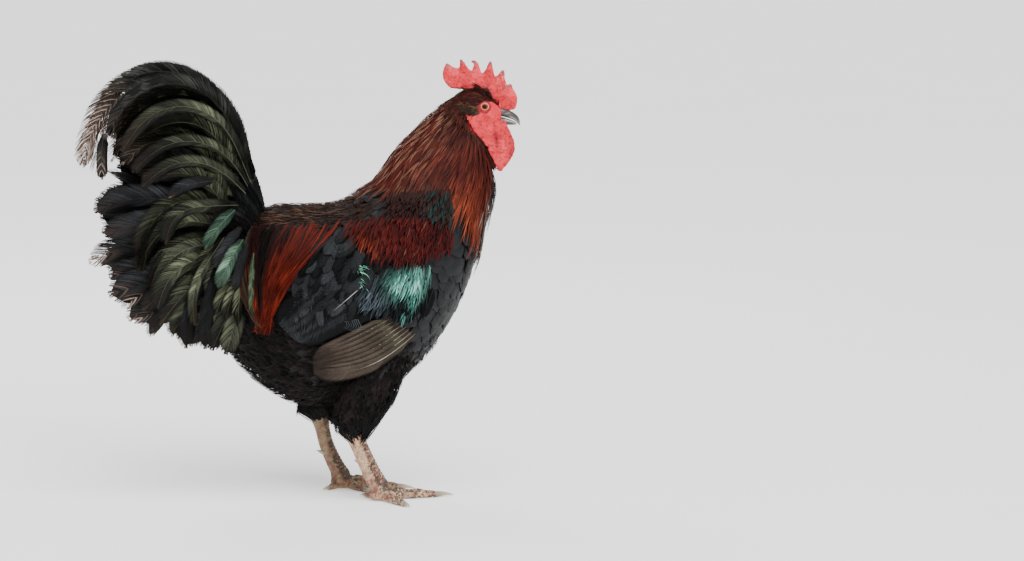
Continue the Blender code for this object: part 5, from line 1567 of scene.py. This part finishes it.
def build_tail(side, name, finish):
    """The tail on one side: main feathers and sickles, then the coverts that hang over them."""
    rng = np.random.default_rng(16 if side < 0 else 17)
    for title, tiers in (
        ("tail_feathers_", ("great_sickle", "lesser_sickle", "main_tail", "root_covert")),
        ("tail_coverts_", ("curved_covert", "long_hanger", "upper_hanger")),
    ):
        coat = Coat(title + name)
        for tier in tiers:
            count, first, last, *ends, straight, look, wear = TAIL_TIERS[tier]
            loose = 0.0 if tier == "great_sickle" else 1.0
            around = side * (0.3 + 0.35 * list(TAIL_TIERS).index(tier))
            for at in np.linspace(0, 1, count):
                heading, turn, length, width, root_out, way_out = (between(pair, at) for pair in ends)
                heading = heading + loose * rng.normal(0, 3)
                turn = turn + loose * rng.normal(0, 7)
                length = length * (1 - loose * rng.uniform(0, 0.08))
                tail_feather(coat, side, rng, between((first, last), at), heading, turn, length, straight,
                             width, (root_out, way_out), look, between(wear, at),
                             TRUNK.unwrap(13.0 + 2.4 * at, around), 2.9, loose)
        if title == "tail_coverts_":
            for k, single in enumerate(TAIL_SINGLES):
                tail_feather(coat, side, rng, *single, TRUNK.unwrap(13.0 + 0.12 * k, side * 2.9), 2.3, 0.4)
        coat.piece(finish, "plumage", ["tail"])


def leg_path(side, count):
    """The shank's centre line and radii."""
    row = smooth(SHANK, np.linspace(0, len(SHANK) - 1, count))
    path = np.stack([row[:, 0] + leg_back(side), side * row[:, 1], row[:, 2]], -1)
    broad = SHANK_BROAD[side] * (1 + (0.25 if side > 0 else 0.1) * eased((row[:, 2] - 70) / 30))
    path[:, 0] += (side > 0) * 8 * eased((row[:, 2] - 50) / 50)
    return path, row[:, 4] * broad, row[:, 3] * broad


def toe_path(side, toe, count=7):
    """A toe's centre line on the floor, its radii and the way it points."""
    heading, length, _, radius = TOES[toe]
    way = math.radians(heading)
    ahead = np.array([math.cos(way), side * math.sin(way), 0.0])
    t = np.linspace(0, 1, count)
    joints = 1 + 0.09 * np.cos(t * 3 * 2 * math.pi)
    radii = radius * (1 - (1 - TOE_TIP) * t) * joints * (1 - 0.22 * eased((t - 0.84) / 0.16))
    start = np.array([FOOT[0] + leg_back(side), side * FOOT[1], 0.0])
    path = start + np.outer(t * length, ahead)
    path[:, 2] = radii * 0.86 + (3.0 if toe != "hind" else 2.0) * (1 - t) ** 2
    return path, radii, ahead


def scutes(coat, path, radii, ahead_of, pitch, reach, rng, dark):
    """Overlapping plates down the front of a limb. ahead_of gives the way that they face."""
    run = run_along(path)
    count = int(run[-1] / pitch)
    tangent = unit(np.gradient(path, axis=0))
    turns = np.linspace(-reach, reach, 9)[:, None]
    ends = pitch * 0.62 * np.cos(np.linspace(-1.35, 1.35, 9)) ** 0.5
    for k in range(count):
        at = (k + 0.5) * pitch
        here, way = read_line(at, run, path), read_line(at, run, tangent)
        front = unit(ahead_of - way * np.dot(ahead_of, way))
        out = front * np.cos(turns) + np.cross(way, front) * np.sin(turns)
        line = here + out * (np.interp(at, run, radii) + 0.15)
        lean = unit(unit(line - here) + way * 0.22)
        tone = rng.random()
        coat.add(line[None], lean[None], ends, 0.9, (0.1 + 0.8 * k / count, 0.5), tone, tint("#888888"),
                 edge=np.full((1, 1), dark * rng.uniform(0.4, 1.0)))


def build_leg(side, name, finish, claw, rng):
    """One scaled shank and foot in one skin, with plates laid down its front, and horn claws."""
    path, across, along = leg_path(side, 16)
    top = path[0] + (path[0] - path[1]) * 0.6
    rings = sweep_rings(*(np.concatenate([first, line]) for first, line in (
        ([top], path), (across[:1], across), (along[:1], along))), 20)
    pieces, turns = [loft("leg", rings)], turns_of(20)
    for middle, radii in (((*FOOT, PAD_HEIGHT), PAD_RADIUS), ((99, 42, 17), ANKLE_RADIUS)):
        pad = []
        for latitude in np.linspace(-1.4, 1.4, 9):
            ball = [np.cos(turns), np.sin(turns), np.full(20, math.tan(latitude))]
            ring = np.stack(ball, -1) * math.cos(latitude) * radii
            ring = ring + (middle[0] + leg_back(side), side * middle[1], middle[2])
            ring[:, 2] = np.maximum(ring[:, 2], 0.4)
            pad.append(ring)
        pieces.append(loft("pad", pad))
    for toe in TOES:
        toe_line, radii, _ = toe_path(side, toe, 19)
        pieces.append(loft("toe", sweep_rings(toe_line, radii, radii, 16, 0.4)))
    leg = remeshed("scaled_leg_" + name, pieces, 0.9, 3)
    place, _ = points_of(leg)
    place[:, 2] = np.maximum(place[:, 2], 0.0)
    set_points(leg, place)
    x, _, z = place.T
    ahead = (x - np.interp(z, path[::-1, 2], path[::-1, 0])) / 10
    plates = eased((ahead + 0.15) / 0.5) * eased((60 - z) / 30) * (z > 13)
    toes = eased((ahead - 1.2) / 0.6) * (z < 20)
    plates = np.maximum(plates, toes * (0.35 + 0.4 * (np.abs(z - 7) > 4)))
    blood = eased((44 - z) / 26) * (1 - 0.75 * toes)
    mark(leg, "growth", np.stack([np.full(len(z), 0.5), blood, plates], 1))
    nodes = [f"shank_{name}", f"foot_{name}", *(f"toe_{toe}_{name}" for toe in TOES)]
    settle(leg, finish, nodes, 60)
    coat = Coat("scutes_" + name)
    scutes(coat, path, along * 0.97, np.array([1.0, 0, 0.3]), 5.2, 1.15, rng, 0.8)
    for toe in TOES:
        toe_line, radii, _ = toe_path(side, toe, 19)
        scutes(coat, toe_line[2:], radii[2:], np.array([0, 0, 1.0]), 3.9, 1.0, rng, 0.62)
    coat.piece(finish, "scales")
    for toe, (_, _, size, _) in TOES.items():
        toe_line, radii, ahead = toe_path(side, toe)
        t = np.linspace(0, 1, 14)
        start = toe_line[-1] - ahead * 2.0
        curve = start + np.outer(t * (size + (11 if toe == "middle" else 3)), ahead)
        drop = start[2] - 1.2
        curve[:, 2] = start[2] + 1.3 * np.sin(t * math.pi * 0.8) - drop * t**1.6
        thick = radii[-1] * (0.96 - 0.82 * t**1.2)
        horn(f"claw_{toe}_{name}", sweep_rings(curve, thick * 0.82, thick, 16, 0.0), claw)
    (x, z), size, radius = SPUR
    t = np.linspace(0, 1, 12)
    start = np.array([x + leg_back(side), side * 42, z])
    curve = start + np.outer(t * size, (-0.82, -side * 0.42, 0.1)) + np.outer(t**2 * 3, (0, 0, 1.0))
    thick = radius * (1 - 0.85 * t)
    horn("spur_" + name, sweep_rings(curve, thick, thick, 16), claw)


def horn(node, rings, finish):
    """A claw or a spur, marked with how far along it has grown."""
    t = np.linspace(0, 1, len(rings))
    piece = loft(node + "_horn", rings, finish, [node])
    mark(piece, "growth", np.repeat(np.stack([0 * t, t, t], 1), len(rings[0]), axis=0))


def build():
    """Makes the whole bird."""
    black = feather_finish("black_body_feather", 0.55, 0.8, 0.25, 0.4, 0.35, 0.35, Specular_IOR_Level=0.2)
    tail = feather_finish("green_black_tail_feather", 0.42, 0.7, 0.0, 0.6, 0.65, 0.4, Specular_IOR_Level=0.1)
    flight = feather_finish("dark_wing_feather", 0.5, 0.7, 0.0, 0.8, 0.5, 0.4, Specular_IOR_Level=0.04)
    copper = feather_finish("copper_hackle", 0.55, 0.6, 0.4, 0.3, 0.45, 0.4, 4.0, Specular_IOR_Level=0.08)
    red = feather_finish("dark_red_wing_bow", 0.6, 0.6, 0.2, 0.2, 0.3, 0.4, 4.0, Specular_IOR_Level=0.08)
    fluff = feather_finish("soft_belly_down", 0.7, 0.8, 0.1, 0.3, 0.4, 0.3, Specular_IOR_Level=0.1)
    build_skin()
    build_eyes(lid_finish())
    build_bill()
    build_hackle(copper)
    build_crown(copper)
    build_body_coat(black, fluff)
    build_saddle(copper)
    for side, name in HANDS:
        build_wing(side, name, red, flight)
        build_tail(side, name, tail)
    pale = scale_finish("pinkish_leg_scale", "#dcbc98", "#a87c60", "#2c2b26", 0.84)
    # Painted shade: the far leg gets a darker, olive copy of the near leg's scales
    olive = scale_finish("far_leg_scale_painted_shade", "#a3926a", "#84604e", "#34342b", 0.88)
    claw = horn_finish("pale_claw_horn", "#96876f", "#f0e0bc", 0.3, 0.05)
    rng = np.random.default_rng(18)
    for side, name in HANDS:
        build_leg(side, name, olive if side > 0 else pale, claw, rng)


build_stage()
build()
